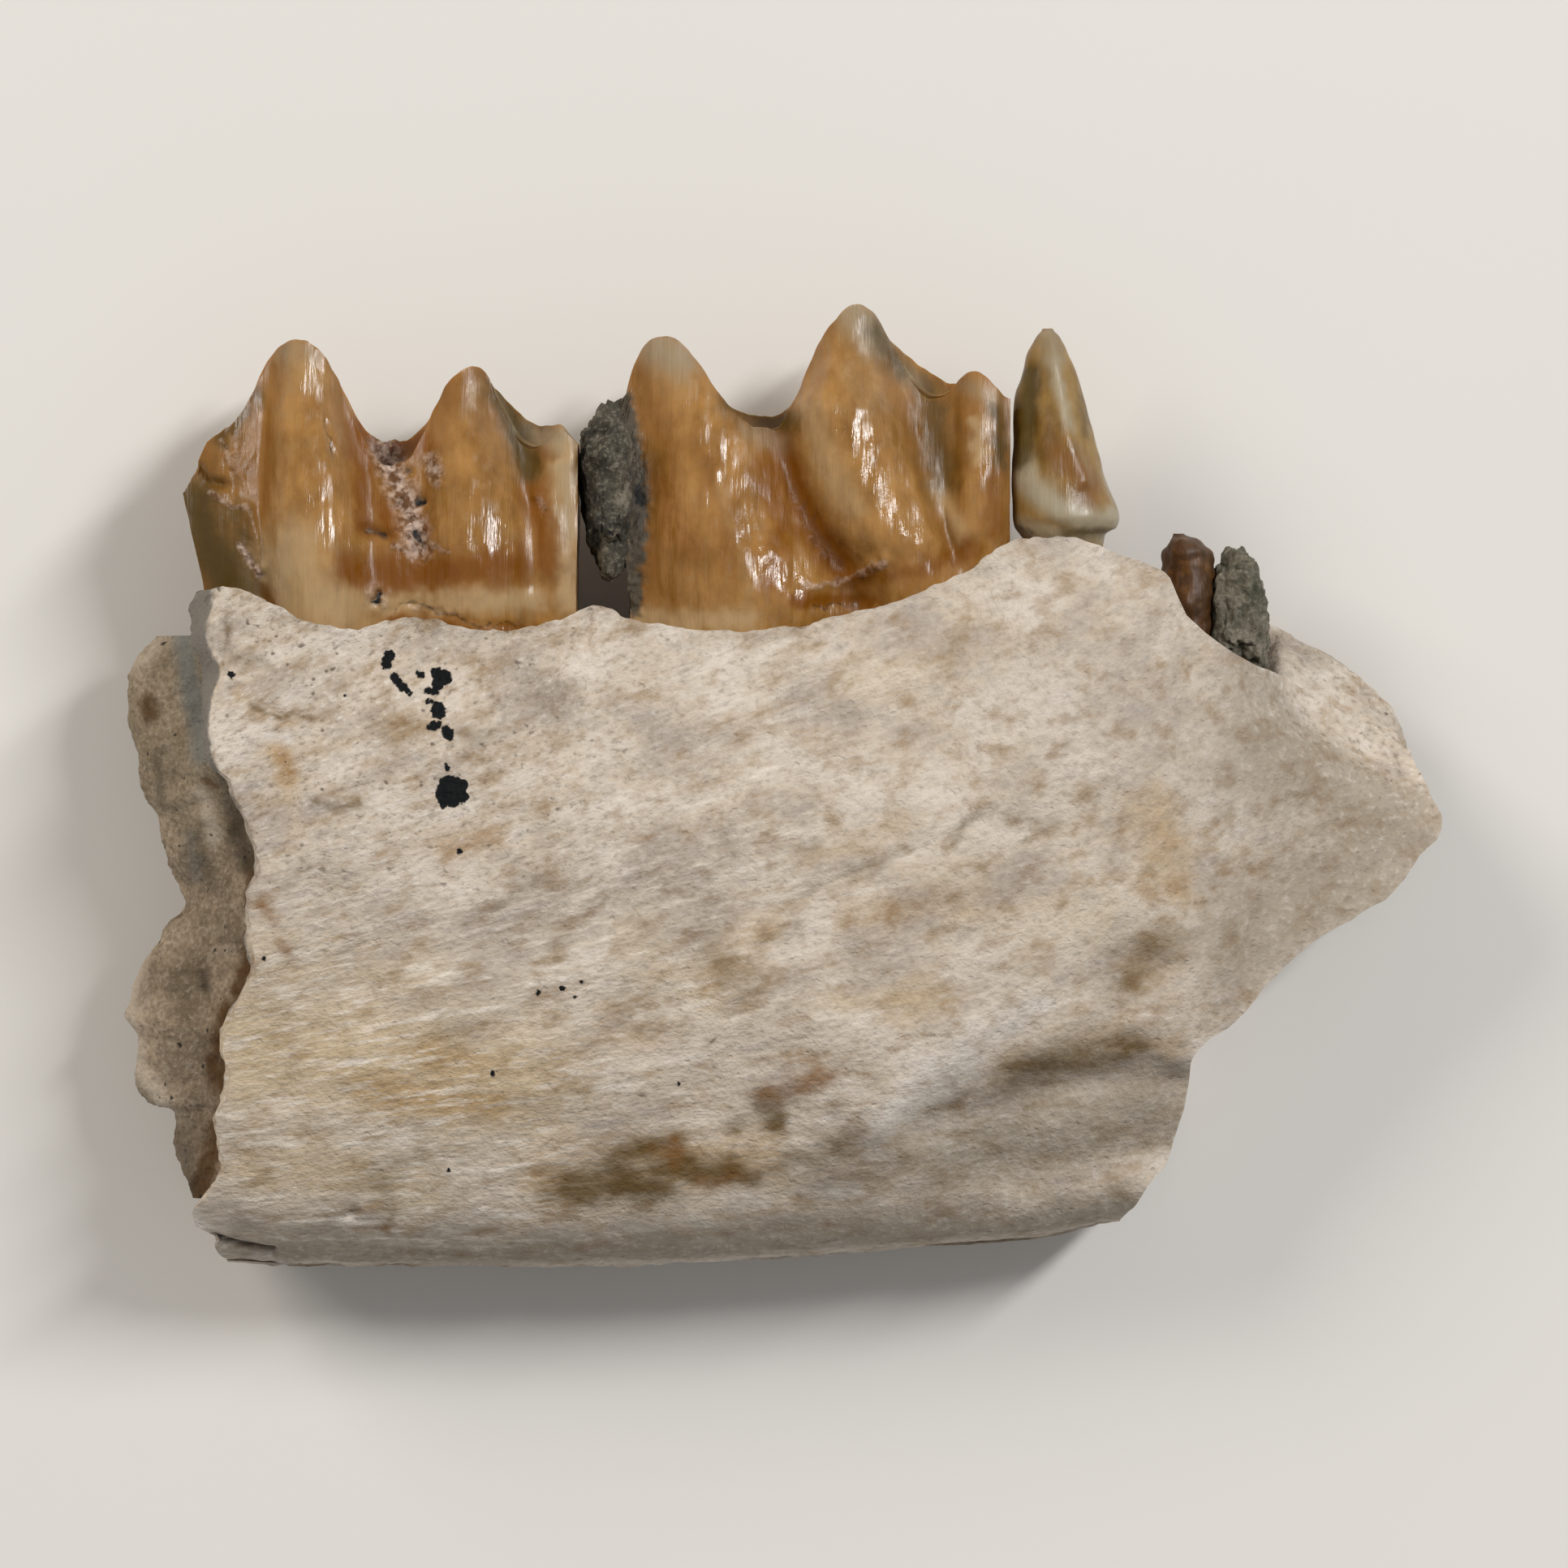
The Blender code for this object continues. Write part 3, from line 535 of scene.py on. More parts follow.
points, normals = places_of(jawbone)
x, y, z = points.T
fan_angle = np.arctan2(y - FAN_CENTRE[1], x - FAN_CENTRE[0])
fan_reach = np.hypot(x - FAN_CENTRE[0], y - FAN_CENTRE[1])
fan = np.stack([fan_reach, fan_angle * FAN_RADIUS, z], axis=-1)
grainy = np.maximum(ease(1.0, -6.0, x) * ease(-3.6, 0.2, y), ease(-8.6, -9.8, x) * ease(-4.0, -1.0, y))
grainy = np.maximum(grainy, ease(4.0, 2.5, z))
polished = np.maximum(ease(2.5, 7.0, x), ease(-6.0, -8.0, y) * ease(-6.0, 0.0, x))
heights = 0.030 * bumps(points, 0.75, 3.0) + 0.020 * bumps(points, 0.33, 8.0)
heights += mix(0.008, 0.034, grainy) * bumps(points, 0.19, 5.0)
heights += 0.012 * (1.0 - grainy) * (1.0 - polished) * bumps(fan, (1.1, 0.2, 0.5), 1.0)
heights += 0.016 * bumps(fan, (2.2, 0.55, 1.0), 4.0)
RELIEF = [
    (-3.37, 3.05, -3.4, 2.75, -3.5, 2.53, 0.06, -0.1),
    (-7.71, 2.42, -7.62, 1.85, -7.54, 1.3, 0.05, -0.04),
    (-10.02, -8, -9.6, -8.13, -9, -8.23, 0.075, -0.13),
    (3.6, -0.5, 2.6, -1.05, 1.45, -1.4, 0.3, -2, 0.06, -0.04),
    (-9.2, 1.4, -8.8, 1.3, -8.35, 1.15, 0.07, -0.07), (-9.1, 1.15, -8.5, 1, 0.12, 0.05),
    (-9.75, 3.1, -9.85, 2.5, -9.7, 2.1, 0.1, -0.1),
    (1.9, -5.6, 2.6, -5.2, 3.3, -4.4, 4.2, -3.7, 0.65, 0.17),
    (2.3, -5.95, 3.47, -5.42, 4.34, -5.14, 5.2, -4.8, 6.1, -4.68, 6.5, -4.75, 0.34, -0.2),
    (7.1, 2.6, 7.6, 2.2, 0.25, 0.1),
]
heights += sum(drawn(x, y, RELIEF)) * ease(2.6, 3.2, z)
rim_edge = ease(0.30, 0.05, along(CHEEK_RIM, x) - y) * ease(3.0, 3.8, z) * ease(7.0, 5.0, x)
heights += 0.06 * rim_edge * bumps(points, 0.24, 6.5, octaves=2)
carve(jawbone, heights)
print("deepest groove in the bone, in mm:", round(float(-heights.min()), 2))

# %% [markdown]
# ## Marks on the bone
#
# Stains are only colour, so they are marks and not shapes: rusty and olive patches where minerals
# soaked in, cooler grey where the bone is bleached, and a warm zone in the lower back part. A dull
# grey tone laid along the lower border, under the ledge and at the front end is partly painted
# shade, and thin pale strokes at the lower back corner are painted highlights. Each is a list of
# strokes. Their places are shaken a little, so that no edge follows a straight line.

# %% Strokes that mark the bone, in mm
BONE_MARKS = {
    "olive_stain": [
        (-3.65, -7, -2.9, -6.93, -2.2, -7.1, 0.42, 1), (-3.4, -6.85, -2.7, -6.5, -2, -6.25, 0.32, 0.85),
        (-4.2, -7.15, -3.6, -7.05, 0.3, 0.55), (-2.6, -7.4, -2, -7.35, 0.3, 0.45),
        (-2.2, -6.7, -1.5, -6.72, -0.5, -6.8, 0.27, 0.95),
        (-0.4, -6.75, 0.4, -6.55, 1.3, -6.15, 0.24, 0.5), (-0.25, -5.5, -0.2, -6.1, 0.2, 0.85),
        (-0.85, -6, -0.7, -5.9, 0.2, 0.6), (-7.2, -6.85, -7.07, -7.15, 0.13, 0.45),
        # The strokes from x 2.7 to 7 follow the ledge: olive stain, partly painted shade in its crease
        (-7.05, -7.3, -7, -7.7, 0.18, 0.45), (4.1, -5.15, 5.2, -4.78, 6.3, -4.68, 0.4, 0.8),
        (2.7, -5.75, 3.5, -5.4, 4.2, -5.15, 0.18, 0.55), (6.3, -4.7, 7, -4.85, 0.35, 0.4),
        (6, -3.4, 6.35, -3.05, 6.7, -2.75, 0.42, 0.6), (6.8, -2.7, 7.3, -2.5, 0.12, 0.4),
        (-1.2, -2.9, -0.75, -3.4, 0.36, 0.55), (-1.21, -4.44, 0.07, 0.9),
        (-0.4, -2.55, 0.35, -2.45, 0.14, 0.45), (3.9, -0.5, 4.6, -0.6, 0.2, 0.45),
        (3.75, -0.45, 2.9, -0.9, 0.1, 0.5), (2, -1.1, 1.35, -1.5, 0.14, 0.45),
        (0.55, -1.05, 0.26, -1.2, 0.16, 0.45), (2.6, -2.6, 3.5, -2.5, 0.1, 0.4),
        (-7, 1, -6.4, 1.05, 0.25, 0.35), (-5.7, 0.95, -4.9, 0.95, 0.16, 0.5),
        (-8.2, -0.28, -7.5, -0.38, 0.09, 0.8), (-9.7, 2.35, -9, 2.1, 0.14, 0.55),
        (-9.2, 1.4, -8.8, 1.3, -8.3, 1.12, 0.06, 0.7), (-9.75, 3, -9.85, 2.4, 0.11, 0.6),
        (-4, -2.7, -3.7, -2.6, 0.1, 0.5), (-5, -2, -4.2, -1.6, 0.14, 0.4),
    ],
    "rust_stain": [
        (-2, -6.25, -1.95, -6.55, 0.17, 0.95), (-0.3, -5.35, 0.2, -5.2, 0.8, -5.15, 0.2, 0.75),
        (-1.5, -6.9, -0.6, -6.85, 0.16, 0.5), (-8.8, 0.6, -8.72, 0.4, 0.16, 0.55),
        (-9.05, -2.15, -8.85, -2.3, 0.13, 0.8), (-8.85, -2.65, -8.7, -2.8, 0.12, 0.8),
        (-9.1, -3.1, -9.25, -3.4, 0.1, 0.6), (-6.99, -7.7, -6.9, -7.75, 0.1, 0.7),
        (6.8, -1.7, 7, -1.65, 0.16, 0.5), (-5.9, -1.15, -5.3, -0.95, 0.25, 0.35),
        (-0.1, -1.1, 0.2, -1, 0.12, 0.45),
    ],
    "grey_zone": [
        (-4.4, 1.75, -4, 1.6, 0.42, 0.8), (-9, 1.6, -8, 1.7, 0.4, 0.45),
        (-5.2, -2.4, -3, -1.8, -1.5, -2.2, 0.75, 0.55), (4.2, -1.6, 2.6, -2, 0.45, 0.5),
        (4.5, 2, 5.8, 0.6, 8.5, 0.3, 1.1, 0.35), (8.1, 2.55, 8.35, 2.45, 0.22, 1),
        (9.2, -2, 10.8, -0.9, 0.5, 0.3), (3.6, -3.2, 5.4, -3, 0.5, 0.3),
    ],
    # Painted shade, partly grey tone: darker along the lower border, under the ledge and at the front end
    "dull_zone": [
        (3, -6.7, 4.6, -6.2, 6.6, -5.7, 0.8, 1), (-9.5, -8.35, -4, -8.25, 1, -7.9, 6, -7.5, 0.5, 1),
        (8.8, 0.8, 10.6, -0.4, 1.6, 0.9), (8, -2.6, 10.3, -1.6, 1.1, 0.85),
        (0.6, -6.9, 2.6, -6.5, 0.6, 0.75), (-9.6, -7.9, -5, -7.8, 0.45, 0.6),
    ],
    "tan_zone": [
        (-7.4, -5.35, -6.2, -5.5, -4.9, -5.6, 0.32, 1), (-6.4, -4.7, -5.2, -4.9, 0.3, 0.75),
        (-8.9, 0.75, -8.7, 0.3, 0.26, 0.85), (-5.9, -1.15, -5.2, -0.85, 0.35, 0.8),
        (-9.5, 1.6, -8.7, 1.2, 0.25, 0.5), (-6.7, 1, -6.2, 1.1, 0.25, 0.5),
        (0.5, -1.3, 2.2, -0.6, 0.3, 0.4), (1.3, -2.2, 3.4, -2, 0.45, 0.45),
        (2, -3.9, 2.6, -3.5, 0.4, 0.5), (6.4, -0.3, 6.8, -1, 0.4, 0.6),
        (6.4, -1.75, 6.9, -1.7, 0.3, 0.6), (-3.2, -4.1, -2.4, -4.6, 0.4, 0.4),
        (-4.2, -7, -2.2, -6.6, -0.2, -6.5, 0.55, 0.85), (-1.2, -3.4, -0.3, -2.5, 0.4, 0.7),
        (4, -5, 5.4, -4.6, 6.6, -4.5, 0.45, 0.6), (6.2, -3.2, 6.8, -2.7, 0.45, 0.5),
    ],
    "warm_zone": [
        (-9.2, -4.6, -4.5, -5.2, 1.2, 0.95), (-9, -2.9, -6, -3.6, 0.7, 0.5),
        (-9.3, -6.6, -6.5, -6.9, 0.7, 0.7), (2.8, -1.8, 5.5, -2.4, 0.9, 0.35),
        (1, -3.7, 2.9, -3.75, 0.3, 0.55), (6.3, -0.6, 7.1, -1.6, 0.5, 0.6),
        (-2.5, -2.6, -1.2, -3.8, 0.7, 0.4), (1.5, 1.8, 3.2, 2.6, 0.6, 0.4),
        (-8.8, 0.5, -8.6, -0.6, 0.3, 0.5),
    ],
    # Paler bone; the thin strokes along the lower back corner and under the crack are painted highlights
    "pale_spot": [
        (1.7, -5.75, 2.4, -5.25, 3.1, -4.6, 0.42, 0.75), (3.4, -4.2, 4.6, -3.9, 0.4, 0.5),
        (-9.1, 0.95, -8.55, 0.9, 0.15, 0.8), (-10.35, -7.6, -10.2, -7.72, 0.08, 1),
        (-9.6, -8.24, -9.1, -8.32, 0.04, 0.9), (-9.7, -8.45, -8.4, -8.5, 0.05, 0.7),
        (0.9, -7.1, 1.5, -7.15, 0.15, 0.5), (-8.2, -4.9, -7.3, -4.75, 0.06, 0.5),
    ],
    "crack": [(-10.02, -8, -9.6, -8.13, -9, -8.23, 0.05, 1)],
}
print(sum(len(strokes) for strokes in BONE_MARKS.values()), "strokes mark the bone")

# %% Mark the bone
cheek_side = ease(2.3, 3.0, z)
drift_x = 0.24 * bumps(points, 0.75, 3.0) + 0.10 * bumps(points, 0.26, 5.0)
drift_y = 0.20 * bumps(points, 0.75, 13.0) + 0.08 * bumps(points, 0.26, 15.0)
for name, strokes in BONE_MARKS.items():
    drift = 0.0 if name == "crack" else 1.0
    amount = strongest(x + drift * drift_x, y + drift * drift_y, strokes)
    mark(jawbone, name, amount * cheek_side)
mark(jawbone, "grainy", grainy)
mark(jawbone, "cheek_skin", ease(0.3, 0.6, normals[:, 2]) * cheek_side)
mark(jawbone, "fibrous", (1.0 - grainy) * mix(1.0, 0.12, polished) * mix(1.0, 0.4, ease(-4.0, 3.0, x)))
sloping = ease(0.0, 0.08, along(SKIN_EDGE, y) - x) * ease(-1.6, -1.0, y)
broken_face = ease(0.02, 0.2, along(CHEEK_BREAK, y) - x) * ease(0.5, 0.0, z - 5.0)
mark(jawbone, "broken_side", np.maximum(sloping, broken_face))
print("the bone carries", len(jawbone.data.attributes), "attributes, its marks among them")

# %% [markdown]
# ## Fossil bone
#
# Fossil bone is mineral-filled bone, weathered and chalky: an opaque cream with soft tan and
# grey-pink clouds, a fine pale and dark grain, small pores where its skin has gone, and faint
# threads where its fibres lie bare, with near-white streaks painted over them as sheen. It is
# nearly matt, so the light shows its grain more than any gloss. The true grain is some 0.02 mm
# wide, too fine to show here, so it is drawn 0.1 mm wide.
# Black dots are manganese crystals that grew on it after burial; each has its place and radius.

# %% Manganese dots
DOT_SPREAD = 1.1  # the crumbly edge eats a tenth of a dot
DOT_BLUR = 0.012  # in mm
# Manganese dots on the cheek side, as (x, y, radius); a big spot is a cluster of them
DOTS = [
    (-6.91, 2.3, 0.1), (-6.95, 2.15, 0.085), (-6.98, 2.24, 0.05), (-6.8, 1.92, 0.08),
    (-6.74, 1.83, 0.08), (-6.66, 1.75, 0.075), (-6.58, 1.7, 0.055), (-6.53, 1.64, 0.035),
    (-6.35, 1.97, 0.06), (-6.4, 2, 0.04), (-6.06, 1.99, 0.1), (-5.95, 1.92, 0.13), (-6.04, 1.81, 0.105),
    (-5.86, 1.86, 0.06), (-6.13, 2.06, 0.035), (-6.09, 1.69, 0.08), (-6.2, 1.69, 0.055),
    (-6.26, 1.68, 0.035), (-6.22, 1.5, 0.045), (-6.14, 1.5, 0.04), (-6.04, 1.36, 0.12),
    (-6, 1.29, 0.09), (-6.08, 1.27, 0.07), (-6.06, 1.43, 0.07), (-6.11, 1.06, 0.08),
    (-6.19, 1.04, 0.055), (-6.02, 1.09, 0.06), (-5.86, 0.93, 0.095), (-5.91, 0.99, 0.07),
    (-5.82, 0.86, 0.06), (-5.87, 0.34, 0.055), (-5.89, 0.39, 0.03), (-5.84, 0.04, 0.16),
    (-5.7, -0.03, 0.17), (-5.9, -0.08, 0.16), (-5.8, -0.17, 0.17), (-5.62, -0.17, 0.12),
    (-5.95, -0.23, 0.1), (-5.6, 0.04, 0.09), (-5.98, -0.17, 0.08), (-5.94, -0.33, 0.055),
    (-9.67, 1.98, 0.06), (-9.69, 2.01, 0.035), (-5.66, -1.12, 0.045), (-4.28, -3.6, 0.04),
    (-3.85, -3.54, 0.042), (-3.51, -3.42, 0.035), (-3.62, -3.68, 0.032), (-5.09, -5.02, 0.045),
    (-5.86, -6.74, 0.035), (-1.83, -5.22, 0.03), (-9.08, -3.01, 0.035), (-8.71, 0.42, 0.02),
    (-7.67, 1.6, 0.03),
]


def dots_on(tree, place, dots):
    """1 on any of the dots and 0 elsewhere, with crumbly edges."""
    crumbs = add(tree, "TexNoise", {"Vector": place, "Scale": 11.0, "Detail": 2.0})
    shift = add(tree, "VectorMath",
                {0: crumbs.outputs["Color"], 1: (0.12, 0.12, 0.0), 2: (-0.06, -0.06, 0.0)},
                operation="MULTIPLY_ADD")
    shaken = add(tree, "VectorMath", {0: place, 1: shift}, operation="ADD")
    flat = add(tree, "VectorMath", {0: shaken, 1: (1.0, 1.0, 0.0)}, operation="MULTIPLY")
    edge = 1.0
    for dot_x, dot_y, radius in dots:
        away = add(tree, "VectorMath", {0: flat, 1: (dot_x, dot_y, 0.0)}, operation="DISTANCE")
        outside = add(tree, "Math", {0: away, 1: DOT_SPREAD * radius}, operation="SUBTRACT")
        edge = add(tree, "Math", {0: edge, 1: outside}, operation="MINIMUM")
    on = add(tree, "MapRange", {"Value": edge, "From Min": DOT_BLUR, "From Max": -DOT_BLUR})
    skin = add(tree, "Attribute", attribute_name="cheek_skin").outputs["Fac"]
    return add(tree, "Math", {0: on, 1: skin}, operation="MULTIPLY")


print(len(DOTS), "dots lie on the bone")


# %% Fossil bone
def fossil_bone():
    material, tree, shader, place = start_material("fossil_bone")

    from_fan = add(tree, "VectorMath", {0: place, 1: (*FAN_CENTRE, 0.0)}, operation="SUBTRACT")
    parts = add(tree, "SeparateXYZ", {0: from_fan})
    angle = add(tree, "Math", {0: parts.outputs["Y"], 1: parts.outputs["X"]}, operation="ARCTAN2")
    across = add(tree, "Math", {0: angle, 1: FAN_RADIUS}, operation="MULTIPLY")
    reach = add(tree, "VectorMath", {0: from_fan}, operation="LENGTH")
    fan_place = add(tree, "CombineXYZ", {"X": reach, "Y": across, "Z": parts.outputs["Z"]})

    clouds = grain(tree, fan_place, (1.7, 1.0, 1.2), 4.0)
    blotches = grain(tree, fan_place, (0.62, 0.34, 0.4), 5.0)
    wisps = grain(tree, fan_place, (0.7, 0.16, 0.3), 4.0)
    chalk = grain(tree, fan_place, (0.14, 0.10, 0.12), 5.0)
    pores = grain(tree, place, (0.17, 0.14, 0.16), 1.0)
    threads = grain(tree, fan_place, (0.75, 0.05, 0.2), 2.0)
    # painted sheen: long pale streaks where the fibres lie bare
    sheen_streaks = grain(tree, fan_place, (1.4, 0.20, 0.3), 5.0)

    colour = add(tree, "ValToRGB", {"Fac": clouds})
    stops = colour.color_ramp.elements
    stops.new(0.50)
    for stop, (position, tint) in zip(stops, [(0.36, "B5A89B"), (0.50, "CDBFAD"), (0.64, "DED3C6")]):
        stop.position = position
        stop.color = linear(tint)
    dots = dots_on(tree, place, DOTS)
    colour = lay_all(tree, colour, [
        (lay_pattern, blotches, "B08F60", 0.53, 0.72, 0.46),
        (lay_pattern, blotches, "9F968F", 0.46, 0.28, 0.60),
        (lay_mark, "warm_zone", "CDB48A", clouds, 0.65, 0.8, 1.0),
        (lay_mark, "tan_zone", "B48F58", wisps, 0.65, 1.2, 1.2),
        (lay_mark, "grey_zone", "978C82", blotches, 0.70, 0.8, 1.0),
        # painted shade along the lower border, under the ledge and at the front end, partly grey tone
        (lay_mark, "dull_zone", "968A78", clouds, 0.75, 0.5, 1.0),
        # paler bone, with painted highlights along the lower back corner and under the crack
        (lay_mark, "pale_spot", "DDD5CB", wisps, 0.85, 0.8, 0.9),
        (lay_pattern, wisps, "97896F", 0.44, 0.28, 0.35, "fibrous"),
        (lay_pattern, wisps, "EAE0D2", 0.54, 0.70, 0.80, "fibrous"),
        # painted sheen streaks on the bare fibres
        (lay_pattern, sheen_streaks, "F2E9DC", 0.54, 0.68, 0.65, "fibrous"),
        (lay_pattern, chalk, "877A6C", 0.48, 0.24, 0.46),
        (lay_pattern, chalk, "77695A", 0.44, 0.28, 0.50, "grainy"),
        (lay_pattern, chalk, "E8E0D6", 0.53, 0.80, 0.35),
        (lay_pattern, chalk, "F0EAE2", 0.56, 0.76, 0.50, "grainy"),
        (lay_pattern, threads, "8E8069", 0.42, 0.26, 0.30, "fibrous"),
        (lay_mark, "olive_stain", "523D04", blotches, 0.90, 1.3, 1.4),
        (lay_mark, "rust_stain", "7A4E16", blotches, 0.75, 1.4, 1.4),
        (lay_mark, "broken_side", "77726A", blotches, 0.90, 0.5),
        (lay_pattern, pores, "6B5E52", 0.30, 0.22, 0.85, "grainy"),
        (lay_mark, "crack", "3B2F22", chalk, 0.90, 0.5),
        (lay_pattern, dots, "040607", 0.0, 1.0),
    ])

    roughness = add(tree, "MapRange",
                    {"Value": chalk, "From Min": 0.3, "From Max": 0.7, "To Min": 0.58, "To Max": 0.78})
    worn_smooth = add(tree, "Attribute", attribute_name="pale_spot").outputs["Fac"]
    roughness = add(tree, "Math",
                    {0: worn_smooth, 1: -0.22, 2: roughness}, operation="MULTIPLY_ADD")
    open_pores = add(tree, "MapRange", {"Value": pores, "From Min": 0.22, "From Max": 0.34})
    relief = add(tree, "Math", {0: open_pores, 1: 0.3, 2: chalk}, operation="MULTIPLY_ADD")
    relief = add(tree, "Math", {0: wisps, 1: 0.3, 2: relief}, operation="MULTIPLY_ADD")
    bump = add(tree, "Bump", {"Height": relief, "Strength": 0.75, "Distance": 0.075 * MM})
    fill(tree, shader, {"Base Color": colour, "Roughness": roughness, "Normal": bump,
                        "Specular IOR Level": 0.28})  # porous bone shines less than solid mineral
    return material


finish_piece(jawbone, fossil_bone(), "jawbone")

# %% [markdown]
# ## The molars
#
# A molar of this animal has two lobes side by side, each a leaning half cone on the cheek side with
# a taller, thinner crest behind it on the tongue side, and a small fold at its front. Each slice
# across the crown is a ring: up the tongue side, over its crest, through the basin, over the cheek
# crest and down the lobes. A lobe is drawn by its two edges and its height, so that a leaning edge
# stays a clean line, and the roots are plain tapering cones that grow into the crown. In the relief
# a fold stands out and a groove goes in. The other strokes are stains, pits and crusts. Some of
# them are painted shade in hollows, in pits and under the crown's base, and some are painted glints.

# %% Measures of a crown, in mm
CROWN_SINK = 0.42  # crown base under the cheek side rim
CROWN_HEIGHT = 4.8
CROWN_LEAN = 0.64  # how far the cheek side leans in on the way up
NECK_PINCH = 0.3
VALLEY_Z = 2.65  # cheek surface in the valley between two lobes
VALLEY_ROUNDING = 0.75  # fills the valley, so that it is a bend and not a crease
TONGUE_CREST_Z = 1.65
TONGUE_BASE_Z = 0.95
BASIN_Z = 2.35
BASIN_DEPTH = 0.6
ROOT_Z = 2.45
print("the valley between two lobes lies", VALLEY_Z + VALLEY_ROUNDING, "mm up")

